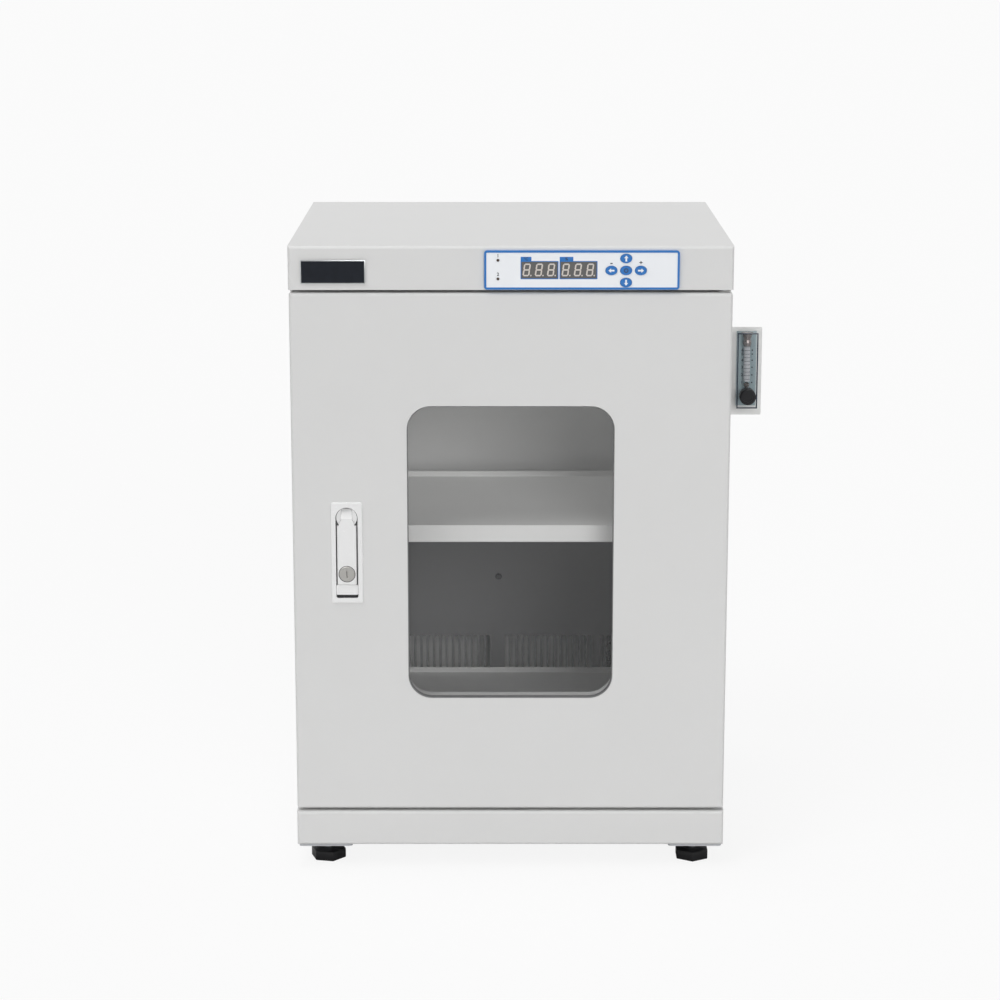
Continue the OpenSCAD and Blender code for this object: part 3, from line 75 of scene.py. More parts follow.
def finish_of(name, colour, shade=0.94, rough=(0.4, 0.5), metallic=0.0, grain=900.0, drift=9.0,
              bump=0.2, depth=0.0002, stretch=(1, 1, 1), coat=0.0, level=0.5):
    """A surface finish: its colour drifts to a darker shade, and its bumps change the gloss."""
    mat = bpy.data.materials.new(name)
    mat.use_nodes = True
    tree = mat.node_tree
    shader = tree.nodes["Principled BSDF"]
    shader.inputs["Metallic"].default_value = metallic
    shader.inputs["Coat Weight"].default_value = coat
    shader.inputs["Specular IOR Level"].default_value = level
    place = tree.nodes.new("ShaderNodeTexCoord")
    mapping = tree.nodes.new("ShaderNodeMapping")
    mapping.inputs["Scale"].default_value = stretch
    tree.links.new(place.outputs["Object"], mapping.inputs["Vector"])
    texture = tree.nodes.new("ShaderNodeGroup")
    texture.node_tree = surface_grain
    texture.inputs["Scale"].default_value = grain
    texture.inputs["Drift"].default_value = drift
    tree.links.new(mapping.outputs["Vector"], texture.inputs["Vector"])
    mix = tree.nodes.new("ShaderNodeMix")
    mix.data_type = "RGBA"
    mix.inputs["A"].default_value = (*[c * shade for c in colour], 1)
    mix.inputs["B"].default_value = (*colour, 1)
    tree.links.new(texture.outputs["Tone"], mix.inputs["Factor"])
    tree.links.new(mix.outputs["Result"], shader.inputs["Base Color"])
    gloss = tree.nodes.new("ShaderNodeMapRange")
    gloss.inputs["To Min"].default_value = rough[0]
    gloss.inputs["To Max"].default_value = rough[1]
    tree.links.new(texture.outputs["Height"], gloss.inputs["Value"])
    tree.links.new(gloss.outputs["Result"], shader.inputs["Roughness"])
    relief = tree.nodes.new("ShaderNodeBump")
    relief.inputs["Strength"].default_value = bump
    relief.inputs["Distance"].default_value = depth
    tree.links.new(texture.outputs["Height"], relief.inputs["Height"])
    tree.links.new(relief.outputs["Normal"], shader.inputs["Normal"])
    return mat


def dress(mat, *names):
    """Puts one finish on CAD nodes."""
    for name in names:
        nodes[name].data.materials.clear()
        nodes[name].data.materials.append(mat)


paint = finish_of("off_white_powder", (0.70, 0.70, 0.695), shade=0.97, grain=700.0, bump=0.3, coat=0.15)
dress(paint, "side_panel_left", "side_panel_right", "base_plinth", "top_cover", "door_frame",
      "door_skin", "door_liner")
# A lighter copy of the powder: painted light for the chamber's dim inside and the bracket's shade.
painted_light_powder = finish_of("chamber_powder_painted_light", (0.80, 0.80, 0.79), shade=0.97, grain=700.0, bump=0.3)
dress(painted_light_powder, "rear_panel", "ceiling_panel", "floor_panel", "shelf_upper", "shelf_lower",
      "meter_bracket")


# ---- Drying unit's cover ----
# A separate sheet that hides the drying unit and carries its air slots. Its dark grey is partly the
# cover's own grey powder and partly painted shade for the shadow under the upper shelf. The housing and
# the shutter behind the slots are blackened, and so are the screws.

# Dark grey: partly the cover's own colour, partly painted shade for the shadow under the upper shelf.
grey_paint_and_shade = finish_of("grey_powder_and_painted_shade", (0.128, 0.128, 0.130), shade=0.94, rough=(0.47, 0.52),
                       grain=1500.0, bump=0.04)
dress(grey_paint_and_shade, "dryer_cover")
black_oxide = finish_of("black_oxide", (0.022, 0.022, 0.024), shade=0.7, rough=(0.5, 0.65), grain=900.0,
                        bump=0.2, level=0.2)
dress(black_oxide, "drying_housing", "shutter_slide", "case_screws")


# ---- Plated steel parts ----
# Hinge plates, nut plates, slotted strips, clips, the solenoid and the lock's works are zinc-plated
# steel with a faint roll grain.

plated = finish_of("zinc_plate", (0.56, 0.57, 0.59), shade=0.85, rough=(0.28, 0.42), metallic=1.0,
                   grain=500.0, drift=30.0, bump=0.12, depth=0.0001, stretch=(1, 1, 0.06))
dress(plated, "foot_plates", "hinge_top", "hinge_bottom", "shelf_pilasters", "shelf_clips",
      "shutter_solenoid", "lock_cam", "lever_pin")
turned = finish_of("turned_steel", (0.47, 0.46, 0.44), shade=0.88, rough=(0.3, 0.45), metallic=1.0,
                   grain=900.0, drift=60.0, bump=0.1, depth=0.00005)
dress(turned, "key_plug")


# ---- Aluminium parts ----
# The heater's finned plate is a bare extrusion with long grooves along its fins. The power supply's
# case is folded from bare aluminium sheet.

aluminium = finish_of("mill_aluminium", (0.66, 0.67, 0.68), shade=0.92, rough=(0.3, 0.45), metallic=1.0,
                      grain=450.0, drift=24.0, bump=0.1, depth=0.0001, stretch=(0.05, 1, 1))
dress(aluminium, "heater_plate", "power_supply")


# ---- Lock ----
# The escutcheon, drum, lever and push tab are zinc castings. They have a smooth white enamel that
# shines a little more than the cabinet's powder.

enamel = finish_of("white_enamel", (0.84, 0.84, 0.84), shade=0.98, rough=(0.22, 0.3), grain=400.0,
                   bump=0.06, depth=0.0001, coat=0.3)
dress(enamel, "lock_housing", "lock_lever", "push_tab", "lock_rotor")


# ---- Lock's painted gap shade ----
# A black ring is painted shade for the dark gap round the drum, open where the lever's neck passes. A
# thinner one is painted shade in the lever's groove round the key plug and travels with it. A black
# strip below the push tab is painted shade for the dark gap under it.

def only(obj):
    """Selects one object and nothing else."""
    bpy.ops.object.select_all(action="DESELECT")
    obj.select_set(True)
    bpy.context.view_layer.objects.active = obj


def pick(test, kind="FACE"):
    """In edit mode, selects the faces, edges or points that pass a test on their middle and normal."""
    bpy.ops.mesh.select_mode(type=kind)
    bpy.ops.mesh.select_all(action="DESELECT")
    mesh = bmesh.from_edit_mesh(bpy.context.object.data)
    if kind == "FACE":
        for face in mesh.faces:
            face.select_set(test(face.calc_center_median(), face.normal))
    elif kind == "EDGE":
        for edge in mesh.edges:
            edge.select_set(test((edge.verts[0].co + edge.verts[1].co) / 2, edge.verts[0].normal))
    else:
        for vert in mesh.verts:
            vert.select_set(test(vert.co, vert.normal))
    mesh.select_flush_mode()
    bmesh.update_edit_mesh(bpy.context.object.data)


def settle(obj):
    """Puts an object's place, turn and scale into its mesh."""
    only(obj)
    bpy.ops.object.transform_apply(location=True, rotation=True, scale=True)


sharp_edge = math.radians(35)


def soften(obj, width, segments=2):
    """Rounds the sharp edges and smooths what is left."""
    settle(obj)
    bevel = obj.modifiers.new("soft_edges", "BEVEL")
    bevel.width = width
    bevel.segments = segments
    bevel.limit_method = "ANGLE"
    bevel.angle_limit = sharp_edge
    bpy.ops.object.modifier_apply(modifier=bevel.name)
    bpy.ops.object.shade_smooth_by_angle(angle=sharp_edge)


def twin(obj, matrix):
    """A copy with its own mesh, put at its place by a matrix."""
    other = obj.copy()
    other.data = obj.data.copy()
    bpy.context.scene.collection.objects.link(other)
    other.data.transform(matrix)
    return other


def joined(parts):
    """Joins several parts into the first of them."""
    bpy.ops.object.select_all(action="DESELECT")
    for part in parts:
        part.select_set(True)
    bpy.context.view_layer.objects.active = parts[0]
    bpy.ops.object.join()
    return parts[0]


def fitted(obj, name, mat, body):
    """Names a finished piece, gives it its finish and puts it on the body that carries it."""
    obj.name = name
    obj.data.name = name
    obj.data.materials.clear()
    obj.data.materials.append(mat)
    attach(obj, body)
    return obj


# Black finish for the lock's painted gap shade.
painted_gap_shade = finish_of("painted_gap_shade", (0.03, 0.03, 0.032), shade=0.7, rough=(0.5, 0.6), grain=900.0,
                        bump=0.2, depth=0.0001, level=0.25)


def shade_ring(middle, inner, outer, thick):
    """A flat ring round the Y axis, its front edges rounded, with its middle at a point."""
    bpy.ops.object.select_all(action="DESELECT")
    bpy.ops.mesh.primitive_cylinder_add(vertices=64, radius=outer, depth=thick, location=middle,
                                        rotation=(math.radians(90), 0, 0))
    obj = bpy.context.object
    settle(obj)
    bpy.ops.object.mode_set(mode="EDIT")
    pick(lambda c, n: abs(n.y) > 0.9)
    bpy.ops.mesh.inset(thickness=outer - inner)
    bpy.ops.mesh.bridge_edge_loops()
    bpy.ops.object.mode_set(mode="OBJECT")
    soften(obj, min(thick, outer - inner) * 0.2)
    return obj


def thin_bar(low, high, round_by):
    """A low slab between two corners with rounded edges, its front face drawn in a little."""
    bpy.ops.object.select_all(action="DESELECT")
    bpy.ops.mesh.primitive_cube_add(size=1, location=(low + high) / 2)
    obj = bpy.context.object
    obj.scale = high - low
    settle(obj)
    bpy.ops.object.mode_set(mode="EDIT")
    pick(lambda c, n: n.y < -0.9)
    bpy.ops.mesh.inset(thickness=min(high.x - low.x, high.z - low.z) * 0.08)
    bpy.ops.transform.translate(value=(0, -0.2 * (high.y - low.y), 0))
    bpy.ops.object.mode_set(mode="OBJECT")
    soften(obj, round_by)
    return obj


drum_ring_sunk, drum_ring_half, drum_ring_t, drum_slot_drop = 0.0003, 0.0004, 0.0008, 0.009
low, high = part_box("lock_rotor")
drum_mid = Vector(((low.x + high.x) / 2, low.y + drum_ring_sunk, (low.z + high.z) / 2))
drum_r = (high.x - low.x) / 2
drum_ring = shade_ring(drum_mid, drum_r - drum_ring_half, drum_r + drum_ring_half, drum_ring_t)
bpy.ops.object.mode_set(mode="EDIT")
pick(lambda c, n: c.z < drum_mid.z - drum_slot_drop)
bpy.ops.mesh.delete(type="FACE")
bpy.ops.mesh.select_all(action="SELECT")
bpy.ops.mesh.fill_holes(sides=0)
bpy.ops.mesh.normals_make_consistent(inside=False)
bpy.ops.object.mode_set(mode="OBJECT")
fitted(drum_ring, "drum_ring", painted_gap_shade, "door")
# A thinner black ring: painted shade in the lever's groove round the key plug.
plug_ring_sunk, plug_ring_gap, plug_ring_w, plug_ring_t = 0.0009, 0.0001, 0.0005, 0.0005
low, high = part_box("key_plug")
plug_mid = Vector(((low.x + high.x) / 2, low.y + plug_ring_sunk, (low.z + high.z) / 2))
plug_r = (high.x - low.x) / 2 + plug_ring_gap
plug_ring = shade_ring(plug_mid, plug_r, plug_r + plug_ring_w, plug_ring_t)
fitted(plug_ring, "plug_ring", painted_gap_shade, "lever")
# A black strip under the push tab: painted shade for the dark gap below it.
shade_front, shade_back, shade_drop, shade_gap = 0.0022, 0.0052, 0.0036, 0.0001
low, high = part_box("push_tab")
tab_shade = thin_bar(Vector((low.x, low.y + shade_front, low.z - shade_drop)),
                Vector((high.x, low.y + shade_back, low.z - shade_gap)), 0.0003)
fitted(tab_shade, "tab_gap_shade", painted_gap_shade, "door")


# ---- White plastics ----
# The desiccant cassette, the probe's cap and the hinge bushes are plain white mouldings with a
# matt skin.

white_plastic = finish_of("white_moulding", (0.76, 0.76, 0.73), rough=(0.4, 0.5), grain=1100.0,
                          bump=0.15, depth=0.0001)
dress(white_plastic, "desiccant_cassette", "sensor_probe", "hinge_bushes")


# ---- Black plastics ----
# The fan's frame and rotor, the power inlet and the flowmeter's valve knob are black mouldings with
# a satin skin.

black_plastic = finish_of("black_moulding", (0.014, 0.014, 0.016), shade=0.8, rough=(0.3, 0.42),
                          grain=1300.0, bump=0.2, depth=0.0001, level=0.22)
dress(black_plastic, "fan_frame", "fan_rotor", "power_inlet", "meter_knob")


# ---- Rubber ----
# The channel that holds the window's glass is grey rubber. The door's magnetic gasket is a softer
# rubber in nearly the same grey.

rubber = finish_of("channel_rubber", (0.22, 0.22, 0.225), shade=0.8, rough=(0.6, 0.75), grain=900.0,
                   bump=0.2, depth=0.0001)
dress(rubber, "window_seal")
gasket_rubber = finish_of("grey_gasket", (0.23, 0.235, 0.24), rough=(0.5, 0.65), grain=900.0, bump=0.15,
                          depth=0.0001)
dress(gasket_rubber, "door_gasket")


# ---- Levelling feet ----
# Each foot is a black moulded six-sided pad, pressed on a plated stud. A locking nut with a collar
# turns on the stud and holds the pad's height against the plinth's nut plate.

foot_rubber = finish_of("foot_moulding", (0.010, 0.010, 0.011), shade=0.7, rough=(0.34, 0.5),
                        grain=900.0, bump=0.3, depth=0.0001, level=0.3)
pad_r, pad_h = 0.0193, 0.0103
shoulder_w, shoulder_rise, crown_w, crown_rise = 0.0042, 0.0008, 0.004, 0.0012
tread_w, hollow_w, hollow_deep = 0.0022, 0.003, 0.001
collar_r, collar_h, collar_mid = 0.0054, 0.009, 0.0163
stud_r, stud_top = 0.0039, 0.047
bpy.ops.object.select_all(action="DESELECT")
bpy.ops.mesh.primitive_cylinder_add(vertices=6, radius=pad_r, depth=pad_h, location=(0, 0, pad_h / 2))
foot_pad = bpy.context.object
settle(foot_pad)
bpy.ops.object.mode_set(mode="EDIT")
pick(lambda c, n: n.z > 0.9)
for width, rise in ((shoulder_w, shoulder_rise), (crown_w, crown_rise)):
    bpy.ops.mesh.inset(thickness=width)
    bpy.ops.transform.translate(value=(0, 0, rise))
pick(lambda c, n: n.z < -0.9)
bpy.ops.mesh.inset(thickness=tread_w)
bpy.ops.mesh.inset(thickness=hollow_w)
bpy.ops.transform.translate(value=(0, 0, hollow_deep))
bpy.ops.object.mode_set(mode="OBJECT")
soften(foot_pad, 0.0009, 3)
bpy.ops.object.select_all(action="DESELECT")
bpy.ops.mesh.primitive_cylinder_add(vertices=32, radius=collar_r, depth=collar_h,
                                    location=(0, 0, collar_mid))
foot_stud = bpy.context.object
settle(foot_stud)
bpy.ops.object.mode_set(mode="EDIT")
pick(lambda c, n: n.z > 0.9)
bpy.ops.mesh.inset(thickness=collar_r - stud_r)
stud_rise = stud_top - (collar_mid + collar_h / 2)
bpy.ops.mesh.extrude_region_move(TRANSFORM_OT_translate={"value": (0, 0, stud_rise)})
bpy.ops.object.mode_set(mode="OBJECT")
soften(foot_stud, 0.0004)
for name, turn in (("foot_front_left", 18), ("foot_front_right", 0), ("foot_rear_left", 40),
                   ("foot_rear_right", 25)):
    low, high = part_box(name)
    spot = Matrix.Translation(((low.x + high.x) / 2, (low.y + high.y) / 2, 0))
    lean = Matrix.Rotation(math.radians(turn), 4, "Z")
    pad = fitted(twin(foot_pad, spot @ lean), name + "_pad", foot_rubber, name)
    fitted(twin(foot_stud, spot), name + "_stud", plated, name)
    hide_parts(name)
for obj in (foot_pad, foot_stud):
    bpy.data.objects.remove(obj)


# ---- Badge plate ----
# A blank anodised plate with a thin bright edge, stuck to the front strip at its left end. The field
# is left bare.

navy = finish_of("dark_anodised", (0.014, 0.017, 0.024), shade=0.6, rough=(0.25, 0.4), grain=1200.0,
                 drift=140.0, bump=0.1, depth=0.00005, level=0.15)
dress(navy, "name_badge")
edge_metal = finish_of("bright_edge", (0.55, 0.57, 0.58), shade=0.85, rough=(0.25, 0.35), metallic=1.0,
                       grain=900.0, drift=60.0, bump=0.05, depth=0.00005)


def flat_frame(low, high, width, rise):
    """A thin frame that stands out by rise from a front face, with its outer corners at low and high."""
    bpy.ops.object.select_all(action="DESELECT")
    bpy.ops.mesh.primitive_plane_add(size=1, rotation=(math.radians(90), 0, 0),
                                     location=((low.x + high.x) / 2, low.y, (low.z + high.z) / 2))
    obj = bpy.context.object
    obj.scale = (high.x - low.x, high.z - low.z, 1)
    settle(obj)
    bpy.ops.object.mode_set(mode="EDIT")
    bpy.ops.mesh.select_all(action="SELECT")
    bpy.ops.mesh.inset(thickness=width)
    bpy.ops.mesh.delete(type="ONLY_FACE")
    bpy.ops.mesh.select_all(action="SELECT")
    bpy.ops.mesh.extrude_region_move(TRANSFORM_OT_translate={"value": (0, -rise, 0)})
    bpy.ops.mesh.select_all(action="SELECT")
    bpy.ops.mesh.normals_make_consistent(inside=False)
    bpy.ops.object.mode_set(mode="OBJECT")
    return obj


trim_w, trim_rise, trim_round = 0.0008, 0.0003, 0.0001
low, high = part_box("name_badge")
rim = flat_frame(low, high, trim_w, trim_rise)
soften(rim, trim_round)
fitted(rim, "badge_rim", edge_metal, "cabinet")


# ---- Brass and board ----
# The gas pipes are turned brass, with nuts and a barbed end. The control board behind the panel is
# green laminate.

brass = finish_of("turned_brass", (0.60, 0.44, 0.20), shade=0.9, rough=(0.22, 0.35), metallic=1.0,
                  grain=800.0, drift=40.0, bump=0.08, depth=0.00005)
dress(brass, "gas_fittings")
laminate = finish_of("green_laminate", (0.02, 0.14, 0.07), shade=0.85, rough=(0.35, 0.45), grain=1500.0,
                     bump=0.1, depth=0.00005)
dress(laminate, "control_board")


# ---- Panel ----
# A printed film over a white face, edged in blue, with two display modules and two small lamps.
# Each display has a thin blue border and a small tab with its unit.

film = finish_of("white_film", (0.87, 0.89, 0.92), shade=0.985, rough=(0.3, 0.38), grain=1600.0,
                 bump=0.06, depth=0.00005)
dress(film, "panel_face")
blue_film = finish_of("blue_film", (0.014, 0.17, 0.52), shade=0.9, rough=(0.3, 0.38), grain=1600.0,
                      bump=0.06, depth=0.00005)
dress(blue_film, "panel_bezel", "key_up", "key_down", "key_left", "key_right", "key_set")
display_face = finish_of("display_face", (0.115, 0.112, 0.108), shade=0.88, rough=(0.3, 0.4),
                         grain=900.0, bump=0.03, depth=0.00005)
dress(display_face, "digit_displays")
lamp_lens = finish_of("lamp_lens", (0.06, 0.035, 0.025), rough=(0.1, 0.15), grain=900.0, bump=0.02,
                      depth=0.00005)
dress(lamp_lens, "status_lamps")
dark_print = finish_of("dark_print", (0.018, 0.02, 0.03), shade=0.7, rough=(0.4, 0.5), grain=1600.0,
                       drift=200.0, bump=0.05, depth=0.00005)
face_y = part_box("panel_face")[0].y
low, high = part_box("digit_displays")
screen_w, screen_h = 0.038, 0.018
screens = [Vector((x, low.y, (low.z + high.z) / 2))
           for x in (low.x + screen_w / 2, high.x - screen_w / 2)]


def lettered(sign, size, place):
    """A printed sign, made a mesh before it goes to its place."""
    bpy.ops.object.select_all(action="DESELECT")
    bpy.ops.object.text_add()
    obj = bpy.context.object
    obj.data.body = sign
    obj.data.size = size
    obj.data.align_x = "CENTER"
    obj.data.align_y = "CENTER"
    obj.data.extrude = 0.00003
    obj.data.offset = size * 0.02
    only(obj)
    bpy.ops.object.convert(target="MESH")
    obj = bpy.context.object
    bpy.ops.object.mode_set(mode="EDIT")
    bpy.ops.mesh.select_all(action="SELECT")
    bpy.ops.mesh.remove_doubles(threshold=0.000001)
    bpy.ops.mesh.normals_make_consistent(inside=False)
    bpy.ops.object.mode_set(mode="OBJECT")
    obj.data.transform(Matrix.Translation(place) @ Matrix.Rotation(math.radians(90), 4, "X"))
    return obj


border_out, tab_out, tab_proud, tab_t, tab_h = 0.0003, 0.0002, 0.0002, 0.0003, 0.0046
unit_size, unit_proud = 0.0042, 0.0001
for screen, side, tab_w, unit in zip(screens, ("left", "right"), (0.011, 0.0139), ("\u00b0C", "%")):
    reach = Vector((screen_w / 2 + border_out, 0, screen_h / 2 + border_out))
    border = flat_frame(screen - reach, screen + reach, trim_w, trim_rise)
    soften(border, trim_round)
    fitted(border, "display_border_" + side, blue_film, "cabinet")
    tab_low = Vector((screen.x - screen_w / 2 - tab_out, face_y - tab_proud, screen.z + screen_h / 2))
    tab = thin_bar(tab_low, tab_low + Vector((tab_w, tab_t, tab_h)), 0.00008)
    fitted(tab, "unit_tab_" + side, blue_film, "cabinet")
    sign = lettered(unit, unit_size, tab_low + Vector((tab_w / 2, -unit_proud, tab_h / 2)))
    fitted(sign, "unit_sign_" + side, dark_print, "cabinet")


# ---- Digit segments ----
# Each display shows three slanted figures of seven bars and a point. A bar is a six-sided
# window in the module's mask, filled with milky resin; its faint emission is a painted glow.

resin_painted_glow = finish_of("resin_painted_glow", (0.60, 0.56, 0.52), shade=0.9, rough=(0.35, 0.45),
                          grain=1200.0, drift=300.0, bump=0.04, depth=0.00005)
shader = resin_painted_glow.node_tree.nodes["Principled BSDF"]
# A faint painted glow on the milky resin.
shader.inputs["Emission Color"].default_value = (0.9, 0.8, 0.72, 1)
shader.inputs["Emission Strength"].default_value = 0.08
bar_r, bar_t, bar_gap = 0.00085, 0.0002, 0.0003
digit_w, digit_h, digit_lean, digit_pitch, point_gap = 0.0056, 0.0116, 0.14, 0.0124, 0.0022
row_shift = Vector((-0.0006, -0.00012, 0.0002))


def pointed_bar(length, turn):
    """A bar along Z with pointed ends, turned about Y."""
    bpy.ops.object.select_all(action="DESELECT")
    bpy.ops.mesh.primitive_cylinder_add(vertices=6, radius=bar_r, depth=bar_t,
                                        rotation=(math.radians(90), 0, 0))
    obj = bpy.context.object
    settle(obj)
    bpy.ops.object.mode_set(mode="EDIT")
    for way in (-1, 1):
        pick(lambda c, n: c.z * way > 0.0001, "VERT")
        bpy.ops.transform.translate(value=(0, 0, way * (length / 2 - bar_r)))
    bpy.ops.object.mode_set(mode="OBJECT")
    soften(obj, 0.00004, 1)
    obj.data.transform(Matrix.Rotation(math.radians(turn), 4, "Y"))
    return obj


upright, level_bar = pointed_bar(digit_h / 2 - bar_gap, 0), pointed_bar(digit_w - bar_gap, 90)
bars = [twin(upright, Matrix.Translation((sx * digit_w / 2, 0, sz * digit_h / 4)))
        for sx in (-1, 1) for sz in (-1, 1)]
bars += [twin(level_bar, Matrix.Translation((0, 0, sz * digit_h / 2))) for sz in (-1, 0, 1)]
point = pointed_bar(bar_r * 2, 0)
point.data.transform(Matrix.Translation((digit_w / 2 + point_gap, 0, -digit_h / 2)))
figure = joined(bars + [point])
lean = Matrix.Identity(4)
lean[0][2] = digit_lean
figure.data.transform(lean)
for screen, side in zip(screens, ("left", "right")):
    row = [twin(figure, Matrix.Translation(screen + row_shift + Vector((step * digit_pitch, 0, 0))))
           for step in (-1, 0, 1)]
    fitted(joined(row), "figures_" + side, resin_painted_glow, "cabinet")
for obj in (upright, level_bar, figure):
    bpy.data.objects.remove(obj)


# ---- Keys' signs ----
# White arrows are printed on four keys and a ring on the middle one, and each travels with its key.
# Plain signs stand over the side keys and the two lamps.

white_print = finish_of("white_print", (0.86, 0.88, 0.90), rough=(0.35, 0.45), grain=1600.0, drift=200.0,
                        bump=0.04, depth=0.00005)


shaft_w, shaft_h, head_h, head_spread, tip_spread, print_t = 0.0017, 0.0034, 0.0026, 2.6, 0.04, 0.00006


def arrow(turn):
    """A flat arrow that points up, turned about Y: a shaft whose end is drawn out to a head."""
    bpy.ops.object.select_all(action="DESELECT")
    bpy.ops.mesh.primitive_plane_add(size=1, rotation=(math.radians(90), 0, 0))
    obj = bpy.context.object
    obj.scale = (shaft_w, shaft_h, 1)
    settle(obj)
    bpy.ops.object.mode_set(mode="EDIT")
    pick(lambda c, n: c.z > 0.0015, "EDGE")
    bpy.ops.mesh.extrude_region_move(TRANSFORM_OT_translate={"value": (0, 0, 0.00001)})
    bpy.ops.transform.resize(value=(head_spread, 1, 1))
    bpy.ops.mesh.extrude_region_move(TRANSFORM_OT_translate={"value": (0, 0, head_h)})
    bpy.ops.transform.resize(value=(tip_spread, 1, 1))
    bpy.ops.mesh.select_all(action="SELECT")
    bpy.ops.transform.translate(value=(0, 0, -head_h / 2))
    bpy.ops.mesh.extrude_region_move(TRANSFORM_OT_translate={"value": (0, -print_t, 0)})
    bpy.ops.mesh.select_all(action="SELECT")
    bpy.ops.mesh.normals_make_consistent(inside=False)
    bpy.ops.object.mode_set(mode="OBJECT")
    obj.data.transform(Matrix.Rotation(math.radians(turn), 4, "Y"))
    return obj


def key_face(name):
    """The middle of a key's front face."""
    low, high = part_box(name)
    return Vector(((low.x + high.x) / 2, low.y, (low.z + high.z) / 2))


for name, turn in (("key_up", 0), ("key_right", 90), ("key_down", 180), ("key_left", 270)):
    sign = arrow(turn)
    sign.data.transform(Matrix.Translation(key_face(name)))
    fitted(sign, name + "_arrow", white_print, name)
ring_r, ring_w, ring_t = 0.0023, 0.0009, 0.0001
bpy.ops.object.select_all(action="DESELECT")
bpy.ops.mesh.primitive_cylinder_add(vertices=32, radius=ring_r, depth=ring_t, end_fill_type="NGON",
                                    rotation=(math.radians(90), 0, 0), location=key_face("key_set"))
ring = bpy.context.object
settle(ring)
bpy.ops.object.mode_set(mode="EDIT")
pick(lambda c, n: abs(n.y) > 0.9)
bpy.ops.mesh.inset(thickness=ring_w)
bpy.ops.mesh.bridge_edge_loops()
bpy.ops.object.mode_set(mode="OBJECT")
soften(ring, 0.00002, 1)
fitted(ring, "key_set_ring", dark_print, "key_set")

left_key, right_key = key_face("key_left"), key_face("key_right")
low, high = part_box("status_lamps")
lamp_mid = (low.x + high.x) / 2
sign_y, over_key, lamp_sign = face_y - 0.00004, 0.0078, 0.0048
signs = [lettered(sign, size, Vector((x, sign_y, z)))
         for sign, size, x, z in (("-", 0.0085, left_key.x, left_key.z + over_key),
                                  ("+", 0.0065, right_key.x, right_key.z + over_key),
                                  ("1", lamp_sign, lamp_mid, high.z + 0.0030),
                                  ("2", lamp_sign, lamp_mid, low.z + 0.0060))]
fitted(joined(signs), "panel_signs", dark_print, "cabinet")


# ---- Window ----
# One sheet of toughened glass, lightly smoked. The rubber channel behind the door's skin holds it
# all round.

def clear_sheet(name, colour, alpha, rough, level):
    """A clear pane: a thin veil of its colour under a smooth skin."""
    mat = finish_of(name, colour, rough=(rough, rough + 0.02), grain=60.0, bump=0.0, level=level)
    mat.node_tree.nodes["Principled BSDF"].inputs["Alpha"].default_value = alpha
    return mat


dress(clear_sheet("smoked_glass", (0.50, 0.505, 0.51), 0.06, 0.03, 0.25), "window_glass")


# ---- Flowmeter ----
# A clear acrylic block bored with a tapered tube, in which a float rises with the purge gas. Its
# sides look dark from the front, and a dark frame on its front face is painted shade for that. Its pale
# back is painted.

dress(clear_sheet("clear_acrylic", (0.42, 0.52, 0.56), 0.08, 0.06, 0.15), "meter_body")
dress(finish_of("float_brown", (0.10, 0.065, 0.05), shade=0.6, rough=(0.2, 0.3), drift=300.0),
      "meter_float")
body_low, body_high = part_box("meter_body")
mid_x = (body_low.x + body_high.x) / 2
back_coat = finish_of("meter_back", (0.33, 0.42, 0.45), shade=0.85, rough=(0.4, 0.5), grain=1200.0,
                      drift=120.0, bump=0.05, depth=0.00005)
back_inset, back_front, back_rear = 0.0006, 0.0012, 0.0004
back = thin_bar(Vector((body_low.x + back_inset, body_high.y - back_front, body_low.z + back_inset)),
                Vector((body_high.x - back_inset, body_high.y - back_rear, body_high.z - back_inset)),
                0.0001)
fitted(back, "meter_back", back_coat, "cabinet")
# The dark frame round the block's front is painted shade for its dark-looking sides.
edge_painted_shade = finish_of("meter_edge_shade", (0.022, 0.034, 0.06), shade=0.7, rough=(0.15, 0.25), grain=900.0,
                      drift=120.0, bump=0.05, depth=0.00005)
edge_w, edge_rise = 0.0014, 0.0002
edge = flat_frame(body_low, Vector((body_high.x, body_low.y, body_high.z)), edge_w, edge_rise)
soften(edge, 0.00008)
fitted(edge, "meter_edge_shade", edge_painted_shade, "cabinet")


# ---- Flowmeter's tube ----
# The tapered bore carries a printed scale: rings on the tube, a point at each mark and a number.
# The brown float rises inside its milky sleeve, and a flared metal fitting closes it above.

float_low, float_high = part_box("meter_float")
tube_y, tube_low, tube_high = (float_low.y + float_high.y) / 2, float_high.z + 0.001, 0.5565
bore_r, tube_r = (float_high.x - float_low.x) / 2 + 0.0001, 0.0034
mark_in, mark_out, mark_h = 0.0033, 0.00345, 0.0005
mark_first, mark_pitch, mark_count = 0.0022, 0.0038, 10
dot_len, dot_x, dot_proud = 0.0017, 0.0047, 0.0001
number_size, number_x, number_proud = 0.0042, 0.0056, 0.00006


